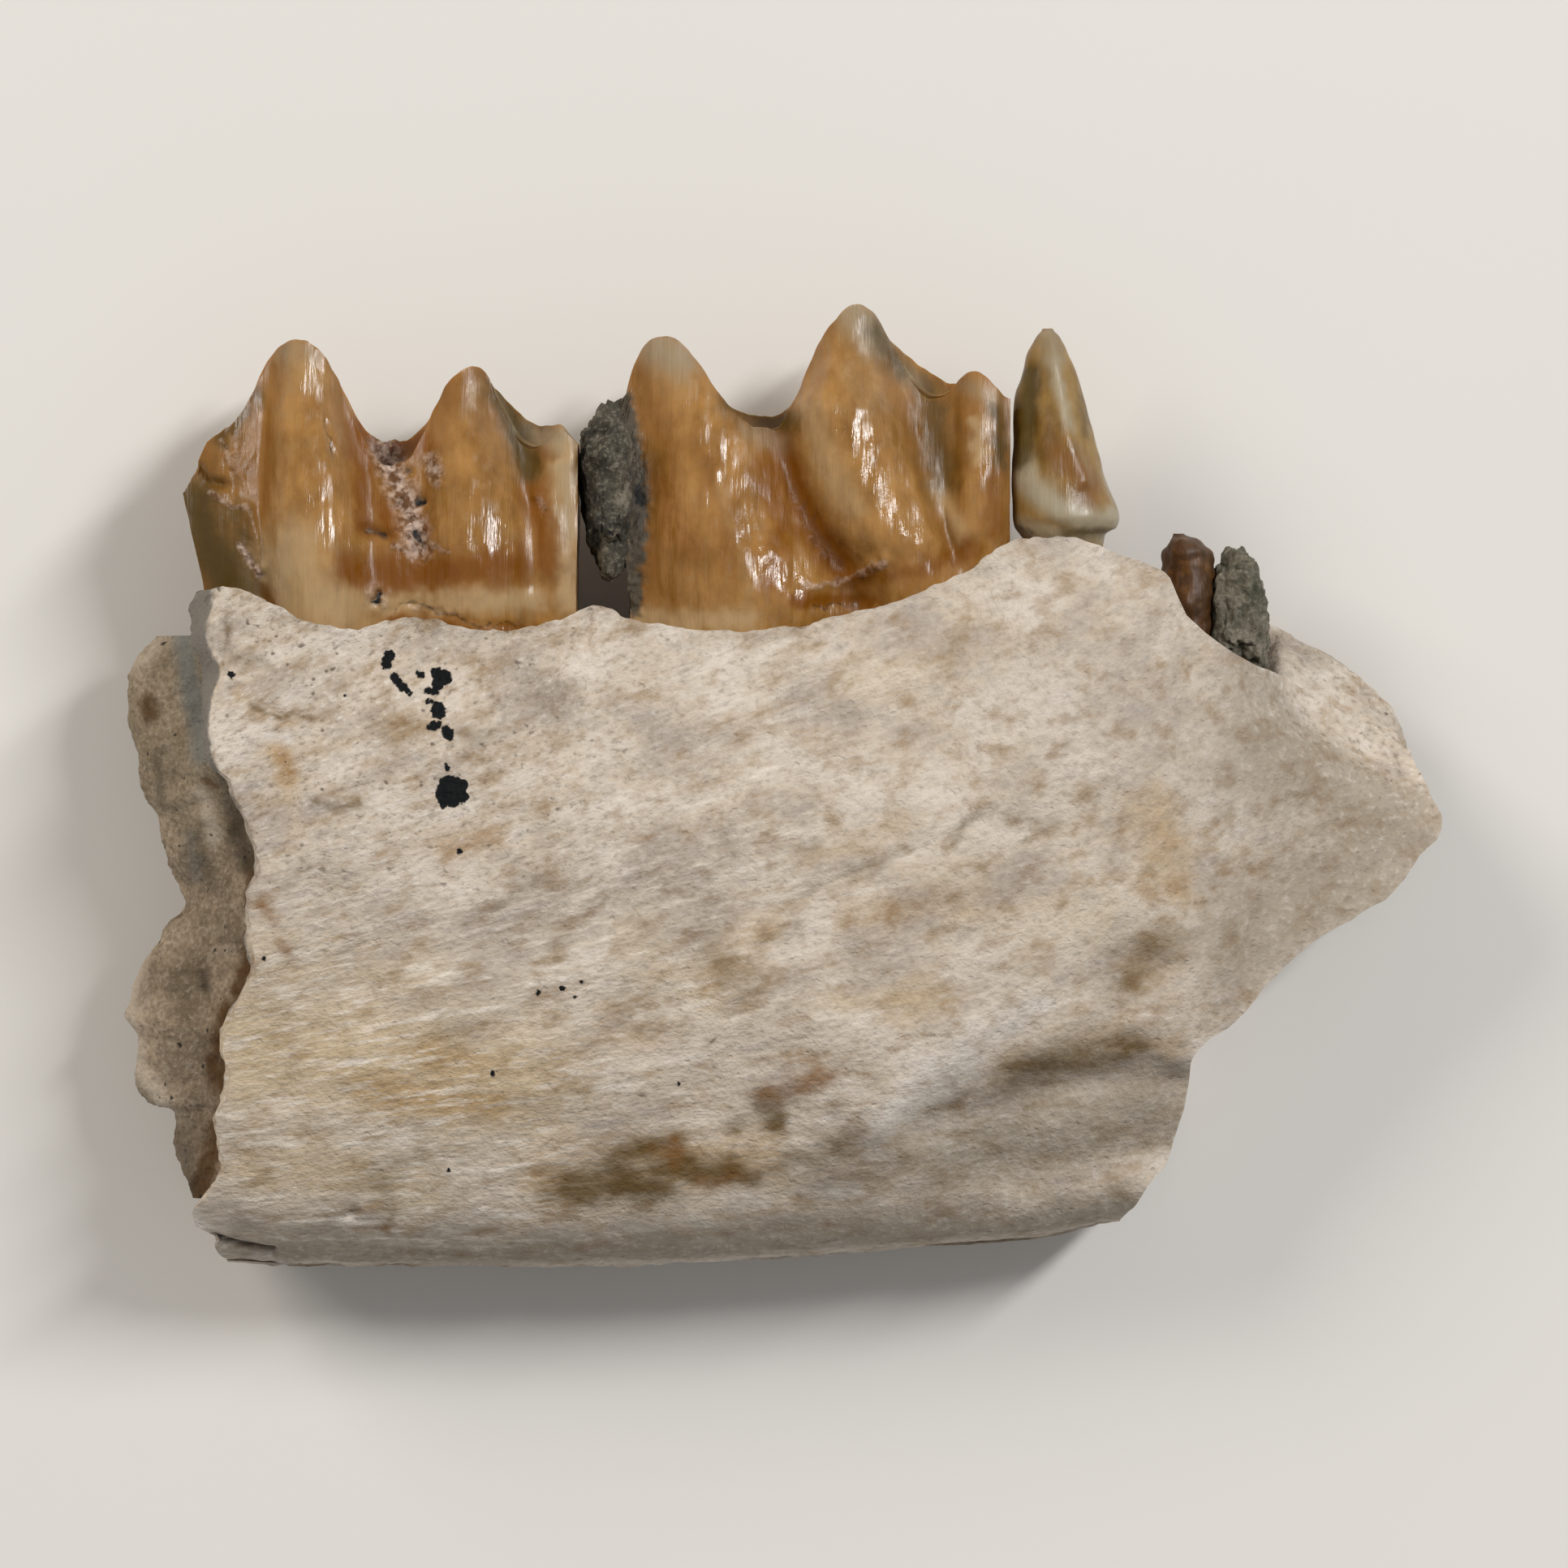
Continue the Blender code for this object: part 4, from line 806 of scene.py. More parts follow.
# %% Outlines and strokes of the rear molar, in mm
REAR_MOLAR = {
    "cheek": [
        (-10.6, 5.15), (-10.42, 5.4), (-10.35, 5.95), (-9.65, 6.5), (-9.3, 7.15), (-9.08, 7.66),
        (-8.8, 7.9), (-8.42, 7.92), (-8.12, 7.66), (-7.8, 7.05), (-7.5, 6.25), (-7.05, 5.7),
        (-6.65, 5.75), (-6.05, 6.98), (-5.75, 7.36), (-5.42, 7.48), (-5.15, 7.2), (-4.8, 6.5),
        (-4.5, 6.1), (-4.2, 6.05), (-3.95, 6.3), (-3.8, 6.32), (-3.6, 6),
    ],
    "tongue": [
        (-10.6, 5.1), (-10.42, 5.38), (-10.35, 5.95), (-9.65, 6.58), (-9.2, 7.2), (-8.5, 7.6),
        (-8, 7.35), (-7.5, 6.45), (-7.1, 6.15), (-6.7, 6.15), (-6.4, 6.45), (-5.9, 6.9), (-5.3, 7.2),
        (-4.75, 6.72), (-4.35, 6.42), (-3.9, 6.48), (-3.6, 6),
    ],
    "lobes": [
        ([(3, -9.3), (4.7, -9.35), (6.4, -9.25), (7.4, -9.1)], [(3, -6.95), (5.3, -7.2), (7, -7.7)], 1.35),
        ([(3, -6.7), (5.3, -6.5), (7, -6.2)], [(3, -4.1), (4.7, -4.25), (7.2, -5.2)], 1.35),
        ([(3, -4.9), (6.4, -4.6)], [(3, -3.15), (6.4, -3.2)], 0.8),
        ([(3, -7.9), (6, -7.3)], [(3, -5.6), (6, -6.3)], 0.75),
        ([(3, -10.3), (6, -10.5)], [(3, -8.9), (6.4, -9.2)], 0.55),
    ],
    "top_ends": (-10.6, -3.6),
    "base_ends": (-10.15, -3.65),
    "roots": [(-8.5, 1, 1.15, 4.6), (-5.2, 1, 1.15, 4.9)],
    "relief": [
        (-9.45, 4.9, -9.2, 3.9, 0.1, 0.1), (-5.3, 7.1, -5.05, 6.5, -4.7, 5.7, -4.4, 5.2, 0.14, 0.06),
        (-4.95, 6.9, -4.7, 6.4, -4.5, 5.8, 0.28, -0.1),
        (-4.42, 5.3, -4.36, 4.4, -4.35, 3.6, 0.16, -0.05),
        (-8.06, 6.45, -8.03, 6.15, -7.9, 5.85, 0.035, -0.03), (-6.42, 5.06, 0.11, -0.12),
        (-6.6, 5.59, 0.08, -0.08), (-7.33, 4.56, -6.98, 4.42, 0.1, -0.09),
        (-6.44, 4.5, -6.4, 4.3, 0.12, -0.1), (-7.13, 3.4, -7.2, 3.28, 0.085, -0.15),
        (-7.17, 3.34, 0.17, 0.1), (-10.35, 5.6, -10.2, 5.4, -9.9, 5.35, 0.1, -0.14),
        (-6.9, 3.1, -6.56, 3.3, -5.98, 3.05, -5.36, 2.87, -4.6, 2.84, 0.07, -0.02),
    ],
    "pitted": [
        (-9.75, 6.2, -9.61, 5.05, -9.35, 4.2, 0.34, 1), (-10.2, 5.6, -10.1, 4.6, 0.35, 0.6),
        (-6.2, 4.3, -5.4, 4.25, 0.12, 0.7), (-7.5, 5, -7.3, 4.5, 0.2, 0.5),
    ],
    "crusty": [
        (-7.06, 6.05, -6.91, 5.59, -6.6, 4.89, -6.44, 4.27, 0.3, 0.95),
        (-6.21, 5.8, -6.13, 5.5, 0.2, 0.8), (-9.53, 4.2, -9.23, 3.73, 0.08, 0.95),
        (-7.17, 3.34, 0.19, 0.9), (-6.55, 3.2, -6.1, 3.12, -5.7, 3.02, 0.06, 0.6),
        (-6.4, 4.22, -5.9, 4.16, 0.07, 0.55), (-4.3, 5.1, -4.2, 4.9, 0.12, 0.5),
        (-9.9, 6.1, -9.65, 5.5, 0.07, 0.55), (-10.1, 5.2, -9.8, 5, -9.45, 4.95, 0.07, 0.6),
        (-6.85, 4.25, -6.6, 4.15, -6.1, 4.2, 0.09, 0.7),
    ],
    "pale_neck": [
        (-8.9, 3.7, -8.6, 3.2, -7.9, 3.1, 0.75, 1), (-8.6, 4.3, -8.5, 3.6, 0.55, 0.8),
        (-7.4, 3.2, -6, 3.3, -4.4, 3.3, 0.26, 0.9), (-3.85, 6.1, -3.85, 5.2, -3.78, 3.2, 0.26, 0.9),
        (-5.44, 7.1, -5.5, 6.8, 0.16, 0.5), (-8.75, 7.5, -8.4, 7.3, 0.45, 0.35),
    ],
    # Brown stain; the stroke low along the base is painted shadow over the roots
    "burnt": [
        (-7.6, 3.8, -6.44, 3.78, -5.36, 3.82, -4.7, 3.95, 0.36, 1),
        (-4.35, 5.2, -4.2, 4.6, -4.15, 4, 0.34, 0.8), (-6.6, 4.2, -5.4, 4, 0.25, 0.5),
        (-7.5, 6.2, -7.4, 5.4, -7.35, 4.6, 0.26, 0.8), (-7.06, 4.9, -6.9, 4.6, 0.25, 0.8),
        (-6.4, 4.6, -6.4, 4.3, 0.22, 0.9), (-9.2, 3.5, -9, 3.2, 0.16, 0.8),
        (-6.9, 2.95, -6, 2.85, -5.2, 2.7, -4.4, 2.75, 0.16, 0.8),
        (-7.5, 6.4, -7.1, 6.1, -6.4, 6.1, 0.26, 1), (-4.2, 6.4, -4.15, 5.9, 0.25, 0.5),
    ],
    # Olive stain; the strokes right of the second lobe are partly painted shade in its hollow
    "olive": [
        (-10.4, 5.05, -10.1, 4.2, -9.6, 3.4, 0.62, 1), (-9.7, 4.9, -9.5, 4.2, 0.3, 0.7),
        (-9.35, 6.9, -9.9, 6.2, 0.2, 0.8), (-5.05, 7.05, -4.75, 6.4, -4.48, 5.6, 0.26, 1),
        (-4.9, 6.9, -4.3, 6.5, 0.2, 0.8),
    ],
    "grey_tip": [
        (-8.9, 7.75, -8.3, 7.7, 0.3, 0.5), (-4.5, 6.3, -3.9, 6.2, 0.35, 0.7),
        (-3.8, 5.6, -3.8, 4.6, 0.25, 0.5),
    ],
    "dark_crust": [],
    # Black infill in pits, partly painted shade in the pits and in the long line under the crown's base
    "black": [
        (-6.42, 5.06, 0.1, 1), (-7.3, 4.56, -7.05, 4.46, 0.08, 0.6),
        (-6.44, 4.5, -6.4, 4.35, 0.07, 0.8), (-7.13, 3.4, -7.2, 3.28, 0.065, 1),
        (-8.06, 6.45, -8.03, 6.15, -7.9, 5.85, 0.022, 0.55), (-6.6, 5.59, 0.055, 0.7),
        (-6.9, 3.1, -6.56, 3.3, -5.98, 3.05, -5.36, 2.87, -4.6, 2.84, 0.04, 0.5),
    ],
}
print("the rear molar's crown is", REAR_MOLAR["top_ends"][1] - REAR_MOLAR["top_ends"][0], "mm long")

# %% Outlines and strokes of the front molar, in mm
FRONT_MOLAR = {
    "cheek": [
        (-2.95, 6.35), (-2.75, 7.1), (-2.59, 7.65), (-2.3, 7.95), (-2, 8.02), (-1.7, 7.8),
        (-1.25, 7.15), (-0.85, 6.62), (-0.5, 6.38), (-0.1, 6.36), (0.2, 6.82), (0.5, 7.5), (0.7, 8.05),
        (0.9, 8.2), (1.1, 8.5), (1.3, 8.6), (1.55, 8.42), (2, 7.75), (2.4, 7.2), (2.75, 6.95),
        (3.05, 7.1), (3.4, 7.36), (3.7, 7.15), (4, 6.85),
    ],
    "tongue": [
        (-2.95, 6.3), (-2.7, 6.9), (-2.4, 7.4), (-1.9, 7.7), (-1.3, 7.2), (-0.85, 6.72), (-0.5, 6.62),
        (-0.05, 6.6), (0.2, 6.85), (0.7, 7.6), (1.3, 8.2), (1.6, 8.2), (2, 7.88), (2.45, 7.52),
        (3, 7.2), (3.3, 7.2), (3.7, 6.95), (4, 6.65),
    ],
    "lobes": [
        ([(3, -2.75), (5.5, -2.5), (7.9, -2.8)],
         [(3, 1.5), (4, 1.05), (4.7, 0.55), (6.4, -0.15), (8, -1.2)], 1.4),
        ([(3, 1.3), (4, 1), (4.7, 0.45), (6.4, -0.15), (8, 0.4)],
         [(3, 3.7), (4.7, 3), (6.4, 2.4), (8, 1.9)], 1.4),
        ([(3, 2.7), (7.3, 3.05)], [(3, 4.3), (7.3, 4.05)], 0.95),
    ],
    "top_ends": (-2.95, 4.04),
    "base_ends": (-2.65, 4),
    "roots": [(-1.3, 1.05, 1.15, 4.9), (2.2, 1, 1.15, 4.6)],
    "relief": [
        (0.15, 6.3, 0.45, 5.6, 0.85, 4.8, 1.25, 4.3, 0.22, 0.03),
        (-0.05, 6.3, 0.15, 5.4, 0.55, 4.6, 1, 3.9, 0.18, -0.06),
        (1.5, 8.3, 1.95, 7.4, 2.15, 6.8, 0.2, 0.05), (2.3, 7.4, 2.7, 6.9, 0.3, -0.1),
        (2.55, 6.7, 2.75, 5.9, 2.9, 5.2, 0.22, -0.05), (3.4, 7.2, 3.38, 6.2, 3.45, 4.6, 0.24, 0.06),
        (0.52, 3.55, 1.2, 3.68, 1.8, 4, 0.11, 0.05), (0.6, 3.2, 1.5, 3.3, 0.12, -0.04),
        (-1.2, 5.6, -0.85, 4.6, -0.5, 3.4, 0.13, 0.05), (2.1, 5.9, 2.6, 4.4, 0.13, 0.05),
        (2.7, 5.4, 3.2, 4.4, 0.15, 0.05),
    ],
    "pitted": [
        (-2, 5.2, -1.6, 4.4, 0.35, 0.7), (0.3, 5.2, 0.9, 4.2, 1.4, 4, 0.35, 0.7),
        (1, 6.4, 1.6, 5.2, 2.2, 4.4, 0.4, 0.45), (-0.6, 4.4, 0.2, 3.7, 0.35, 0.5),
    ],
    "crusty": [(0.52, 3.55, 1.2, 3.68, 1.8, 4, 0.085, 0.6), (0.55, 4.4, 0.75, 4.1, 0.1, 0.4)],
    # Pale enamel; the narrow stroke down the first lobe and the band from x 2.8 to 3.2 are painted glints
    "pale_neck": [
        (-2.5, 3, -1.5, 2.88, -0.6, 2.95, 0.24, 0.85), (-1.13, 5.4, -0.84, 4.4, -0.55, 3.4, 0.13, 0.35),
        (2.77, 5.23, 3.2, 4.4, 0.22, 0.6), (3.44, 6.4, 3.46, 5.8, 0.16, 0.7),
        (0.5, 6.6, 0.75, 5.8, 1.2, 5, 0.35, 0.5), (1.2, 7.4, 1.5, 6.6, 0.3, 0.4),
    ],
    # Brown stain, partly painted shade: the strokes in the valley between the lobes and under the base
    "burnt": [
        (0, 6.2, 0.21, 5.34, 0.62, 4.42, 1.1, 3.8, 0.3, 0.9), (1.3, 3.7, 2.4, 3.8, 3.3, 4.2, 0.26, 0.7),
        (3.72, 5.5, 3.72, 4.6, 0.26, 0.7), (-0.3, 5.6, 0, 4.6, -0.2, 3.6, 0.36, 0.7),
        (-2.3, 4, -2, 3.5, 0.26, 0.4), (-2.2, 5.3, -1.7, 4.2, 0.45, 0.5),
        (0.2, 3.3, 1.6, 3.25, 0.16, 0.9), (-1.9, 6.4, -1.2, 5.2, -0.9, 4, 0.45, 0.35),
    ],
    # Olive stain; the stroke at x 3.8 is partly painted shade in the hollow behind the second lobe
    "olive": [
        (2.55, 7.1, 2.7, 6.3, 2.85, 5.4, 0.34, 0.75), (-0.9, 6.8, -0.4, 6.6, 0.1, 6.5, 0.26, 0.9),
        (1.6, 8.1, 2.1, 7.4, 0.24, 0.75), (3.8, 6.6, 3.85, 5.8, 0.2, 0.8),
    ],
    "grey_tip": [
        (-2.24, 7.79, -1.83, 7.58, 0.45, 0.85), (1.25, 8.4, 1.7, 7.9, 0.42, 0.9),
        (2.1, 7.4, 2.4, 7.2, 0.22, 0.7), (-0.6, 6.3, 0, 6.1, 0.25, 0.5), (3.3, 7.1, 3.8, 6.8, 0.2, 0.5),
    ],
    "dark_crust": [(-2.85, 6.9, -2.62, 5.9, -2.52, 5, -2.6, 4.2, -2.66, 3.2, 0.2, 1)],
    # Black in a pit, and a painted shadow line under the crown's base
    "black": [(0.6, 3.16, 1.3, 3.2, 0.05, 0.5), (-2.58, 5.45, -2.5, 5, 0.09, 0.9)],
}
print("the front molar has", len(FRONT_MOLAR["lobes"]), "lobes and folds")


# %% Where a point of a crown lies
def lobe_bulge(crown, x, y):
    """How far the lobes stand out over the valleys."""
    bulge = np.zeros(x.shape)
    for back_edge, front_edge, height in crown["lobes"]:
        back, front = along(back_edge, y), along(front_edge, y)
        away = (2.0 * x - back - front) / (front - back)
        dome = np.maximum(0.0, 1.0 - abs(away) ** 2.5)
        slender = np.minimum(1.0, (front - back) / (front_edge[0][1] - back_edge[0][1])) ** 0.75
        bulge = bulge + (height * slender * dome**1.15) ** 4
    return np.hypot(bulge**0.25, VALLEY_ROUNDING)


def crown_cheek_z(crown, x, y):
    rise = (y - along(CHEEK_RIM, x) + CROWN_SINK) / CROWN_HEIGHT
    neck = NECK_PINCH * ease(0.42, 0.0, rise)
    return VALLEY_Z + lobe_bulge(crown, x, y) - neck - CROWN_LEAN * np.maximum(0.0, rise) ** 1.7


def rounded_crest(outline, x):
    """A crest drawn by corners, with the corners rounded off."""
    return sum(along(outline, x + shift) for shift in np.linspace(-0.16, 0.16, 7)) / 7.0


def crown_rings(crown, stations, tongue_steps, cheek_steps):
    """Slices across a crown, each from the tongue side's base over both crests to the cheek side's."""
    share = np.linspace(0.0, 1.0, stations)
    share = np.sort(np.concatenate([share, [0.004, 0.012, 0.988, 0.996]]))[:, None]
    top_x = mix(*crown["top_ends"], share)
    base_x = mix(*crown["base_ends"], share)
    base_y = along(CHEEK_RIM, base_x) - CROWN_SINK
    tongue_y = rounded_crest(crown["tongue"], top_x)
    cheek_y = rounded_crest(crown["cheek"], top_x)
    basin_y = np.minimum(tongue_y, cheek_y) - BASIN_DEPTH * np.sin(math.pi * share) ** 0.5 - 0.05
    tongue_base_z = TONGUE_BASE_Z + 0.55 * abs(2.0 * share - 1.0) ** 5

    def at(y, z):
        rise = np.minimum(1.0, (y - base_y) / (cheek_y - base_y))
        return np.stack(np.broadcast_arrays(mix(base_x, top_x, rise), y, z), axis=-1)

    up = np.linspace(0.0, 1.0, tongue_steps)[None]
    tongue_ys = mix(base_y, tongue_y, up)
    tongue_zs = tongue_base_z + (TONGUE_CREST_Z - tongue_base_z) * ease(0.5, 1.0, up)
    tongue_zs = tongue_zs + 0.35 * (1.0 - up) ** 3
    dip = np.linspace(0.12, 0.9, 7)[None]
    into = at(mix(tongue_y, basin_y, np.sin(dip * math.pi / 2.0)), mix(TONGUE_CREST_Z, BASIN_Z, dip))
    down = np.linspace(0.0, 1.0, cheek_steps)[None] ** 1.1
    cheek_ys = mix(cheek_y, base_y, down)
    cheek_xs = at(cheek_ys, 0.0)[..., 0]
    cheek_zs = crown_cheek_z(crown, cheek_xs, cheek_ys)
    crest_z = np.maximum(BASIN_Z + 0.25, cheek_zs[:, :1] - 0.10)
    rise_out = np.linspace(0.1, 0.92, 7)[None]
    out_y = mix(basin_y, cheek_y, 1.0 - np.cos(rise_out * math.pi / 2.0))
    out_of = at(out_y, mix(BASIN_Z, crest_z, rise_out))
    under = np.linspace(0.3, 0.7, 3)[None]
    below = at(base_y + 0.0 * under, mix(cheek_zs[:, -1:], tongue_base_z + 0.35, under))
    tongue_side, cheek_side = at(tongue_ys, tongue_zs), at(cheek_ys, cheek_zs)
    return np.concatenate([tongue_side, into, out_of, cheek_side, below], axis=1)


ROOT_SIDES = 28


def root_cone(x, along_row, across, depth, top):
    """A tapering root from the height top down to its tip."""
    tip = float(along(CHEEK_RIM, x)) - depth
    share = np.array([0.0, 0.2, 0.35, 0.55, 0.7, 0.82, 0.93, 0.99])[:, None]
    width = np.array([1.0, 0.97, 0.92, 0.8, 0.66, 0.53, 0.36, 0.1])[:, None]
    angle = np.linspace(0.0, 2.0 * math.pi, ROOT_SIDES, endpoint=False)[None]
    rings = np.stack(np.broadcast_arrays(
        x + 0.35 * share + along_row * width * np.cos(angle),
        mix(top, tip, share),
        ROOT_Z + across * width * np.sin(angle),
    ), axis=-1)
    return stacked("root", rings)


# %% Carve, mark and grow a molar
MARKS = ("pitted", "crusty", "pale_neck", "burnt", "olive", "grey_tip", "dark_crust", "black")
CROWN_STATIONS, TONGUE_STEPS, CHEEK_STEPS = 190, 34, 118


def above_rim(x, y):
    """1 where a tooth stands out of the bone and 0 deep in its socket."""
    return ease(-0.5, 0.1, y - along(CHEEK_RIM, x))


def mark_tooth(tooth, points, marks, shake, cheek):
    """Keeps each kind of mark on a tooth's cheek side, shaken by some mm to give it a ragged edge."""
    jitter = shake * bumps(points, 0.25, 12.0, octaves=2)
    for kind in MARKS:
        amount = strongest(points[:, 0] + jitter, points[:, 1] - jitter, marks[kind])
        mark(tooth, kind, amount * cheek)


def grow_molar(name, crown):
    molar = stacked(name, crown_rings(crown, CROWN_STATIONS, TONGUE_STEPS, CHEEK_STEPS))
    roots = []
    for x, along_row, across, depth in crown["roots"]:
        top = float(along(CHEEK_RIM, x)) + 0.08
        roots.append(root_cone(x, along_row, across, depth, top))
    join_into(molar, roots)

    points, _ = places_of(molar)
    x, y, z = points.T
    folds = sum(drawn(x, y, crown["relief"])) * ease(2.0, 2.6, z)
    crust = np.maximum(strongest(x, y, crown["crusty"]), strongest(x, y, crown["dark_crust"]))
    ripples = 0.010 * bumps(points, (0.13, 1.3, 0.5), 2.0) + 0.024 * bumps(points, (0.34, 1.6, 0.8), 6.0)
    ripples += 0.024 * bumps(points, (0.16, 0.42, 0.3), 11.0)
    ripples += 0.035 * strongest(x, y, crown["pitted"]) * bumps(points, (0.16, 0.30, 0.2), 7.0, octaves=2)
    crumbs = 0.075 * bumps(points, 0.20, 4.0, octaves=3) + 0.05 * bumps(points, 0.07, 9.0)
    enamel = above_rim(x, y)
    carve(molar, folds + ripples * enamel * (1.0 - crust) + crust * enamel * crumbs)
    mark_tooth(molar, points, crown, 0.10, ease(0.9, 1.5, z))
    # Painted shade, partly real stain: darker and rougher in the valleys where the lobes stand out least
    mark(molar, "hollow", ease(1.25, 0.8, lobe_bulge(crown, x, y)) * ease(1.8, 2.4, z))
    print(name, "rises to", round(float(y.max()), 2), "mm")
    return molar


rear_molar = grow_molar("rear_molar_crown", REAR_MOLAR)
front_molar = grow_molar("front_molar_crown", FRONT_MOLAR)

# %% [markdown]
# ## Fossil enamel
#
# Enamel is the hardest stuff in a body, a glassy skin of mineral a few tenths of a millimetre
# thick. Burial stained this one amber. Light goes a little way in, so it glows warm rather than
# lying on the surface, and its polish shows as narrow glints down the lobes, broken up by growth
# lines and pits. The growth lines are some 0.04 mm apart, and drawn twice as wide to show. The
# necks are paler where the enamel ends, and a few pale strokes are painted glints. The valleys
# between the lobes are darkened by painted shade worked out from the lobes' shape, partly brown
# stain. The hollows and the base are brown and less polished, partly stain and partly painted
# shade. The worn tips are greyish, and a rough pink-white crust of lime is dull in the valley.


# %% Fossil enamel
def fossil_enamel(name, body, deep, pale, polish_range):
    material, tree, shader, place = start_material(name)
    clouds = grain(tree, place, (0.7, 1.1, 0.7), 4.0)
    small_clouds = grain(tree, place, (0.22, 0.34, 0.22), 4.0)
    growth_lines = grain(tree, place, (0.08, 0.9, 0.4))
    crumbs = grain(tree, place, (0.09, 0.09, 0.09))
    flecks = grain(tree, place, (0.15, 0.15, 0.15), 2.0)
    crusty, dark_crust, hollow, worn_tip, pitted = [
        add(tree, "Attribute", attribute_name=name).outputs["Fac"]
        for name in ("crusty", "dark_crust", "hollow", "grey_tip", "pitted")
    ]

    crust_colour = lay_pattern(tree, linear("5F4028"), flecks, "C6B0A0", 0.40, 0.62)
    colour = lay_all(tree, linear(deep), [
        (lay_pattern, clouds, body, 0.34, 0.62),
        (lay_pattern, small_clouds, pale, 0.54, 0.80, 0.28),
        (lay_pattern, growth_lines, pale, 0.52, 0.80, 0.12),
        # painted shade in the valleys between the lobes, partly brown stain
        (lay_mark, "hollow", "7A4C0A", small_clouds, 0.50, 0.7, 1.2),
        # pale enamel at the necks, and painted glints on some strokes
        (lay_mark, "pale_neck", pale, clouds, 0.85, 0.5, 1.0),
        # brown stain, partly painted shade in valleys and under the crown's base
        (lay_mark, "burnt", "7C4800", small_clouds, 0.95, 0.6, 1.0),
        (lay_mark, "grey_tip", "94866C", clouds, 0.80, 0.4, 1.0),
        # olive stain, partly painted shade in hollows behind the ridges
        (lay_mark, "olive", "463502", small_clouds, 0.90, 0.6, 1.1),
        (lay_pattern, crusty, crust_colour, 0.25, 0.9, 0.9),
        (lay_mark, "dark_crust", "4A463B", crumbs, 0.92),
        # black pits, partly painted shade in the pits and under the crown's base
        (lay_mark, "black", "0E0C0A", crumbs, 1.0),
    ])

    dull = add(tree, "Math", {0: crusty, 1: dark_crust}, operation="MAXIMUM")
    roughness = add(tree, "MapRange",
                    {"Value": small_clouds, "From Min": 0.35, "From Max": 0.65,
                     "To Min": polish_range[0], "To Max": polish_range[1]})
    for amount, share in ((dull, 0.4), (hollow, 0.22), (worn_tip, 0.22)):
        roughness = add(tree, "Math", {0: amount, 1: share, 2: roughness}, operation="MULTIPLY_ADD")
    rough_parts = add(tree, "Math", {0: pitted, 1: 0.6, 2: dull}, operation="MULTIPLY_ADD")
    rough_relief = add(tree, "Math", {0: crumbs, 1: rough_parts}, operation="MULTIPLY")
    relief = add(tree, "Math", {0: rough_relief, 1: 1.5, 2: growth_lines}, operation="MULTIPLY_ADD")
    bump = add(tree, "Bump", {"Height": relief, "Strength": 0.45, "Distance": 0.045 * MM})
    fill(tree, shader, {"Base Color": colour, "Roughness": roughness, "Normal": bump, "IOR": 1.58,
                        "Subsurface Weight": 0.25, "Subsurface Radius": (1.0, 0.45, 0.18),
                        "Subsurface Scale": 0.14 * MM})
    return material


amber_enamel = fossil_enamel("amber_fossil_enamel", body="A97C41", deep="845B25", pale="BA9E74",
                             polish_range=(0.12, 0.32))
finish_piece(rear_molar, amber_enamel, "rear_molar")
finish_piece(front_molar, amber_enamel, "front_molar")

# %% [markdown]
# ## The broken premolar and the root stub
#
# In front of the molars only a thin spire is left of a bladed premolar: its back half broke away
# and left a hollow flank, and the enamel ends in a pale, swollen rim over the root. Further
# forward a stub of brown root stands in its socket. Both are stacks of rings again, each ring
# given by its height, its two ends and its thickness.

# %% Premolar spire
# Levels as (y, back x, front x, half thickness, middle z), from the root neck to the tip
PREMOLAR_LEVELS = [
    (3.75, 4.55, 5.55, 0.75, 2.6), (4.25, 4.4, 5.68, 0.85, 2.7), (4.48, 4.2, 5.72, 0.9, 2.75),
    (4.62, 4.1, 5.91, 0.92, 2.78), (4.78, 4.08, 5.94, 0.95, 2.8), (5.55, 4.08, 5.7, 0.85, 2.8),
    (6.6, 4.09, 5.43, 0.62, 2.75), (7, 4.14, 5.32, 0.52, 2.7), (7.4, 4.25, 5.2, 0.42, 2.7),
    (7.7, 4.34, 5.06, 0.32, 2.65), (7.95, 4.5, 4.92, 0.2, 2.65), (8.12, 4.62, 4.8, 0.08, 2.65),
]
PREMOLAR_RELIEF = [
    (4.75, 8, 4.85, 7.2, 5, 6.2, 5.3, 5.4, 0.15, 0.09), (4.35, 7.4, 4.35, 6.3, 4.45, 5.7, 0.2, -0.14),
    (4.2, 5.5, 4.6, 4.95, 5.2, 4.75, 5.85, 4.75, 0.25, 0.03),
]
PREMOLAR_MARKS = {
    "pitted": [(4.6, 6, 5.2, 5.2, 0.3, 0.4)],
    "crusty": [],
    "pale_neck": [
        # Pale enamel at the neck; the stroke down the ridge is a painted glint
        (4.1, 5.8, 4.4, 5.3, 4.9, 4.9, 5.5, 4.66, 5.95, 4.8, 0.26, 1),
        (4.2, 4.6, 5, 4.4, 5.8, 4.5, 0.24, 0.7), (4.78, 7.5, 4.92, 6.9, 5.05, 6.4, 0.13, 0.7),
        (5.9, 5, 5.7, 5.6, 0.1, 0.7),
    ],
    "burnt": [(4.9, 5.9, 5.2, 5.5, 5.5, 5.25, 0.3, 0.55)],
    "olive": [
        # The first stroke is painted shade on the spire's back flank, beside the front molar
        (4.35, 7.3, 4.25, 6.6, 4.15, 5.8, 0.24, 1), (5.25, 6.9, 5.4, 6.2, 0.14, 0.5),
        (5, 4.45, 5.6, 4.5, 0.14, 0.7),
    ],
    "grey_tip": [(4.72, 8.1, 4.8, 7.6, 0.25, 0.8)],
    "dark_crust": [(4.2, 4.6, 4.4, 4.45, 0.1, 0.6)],
    "black": [],
}


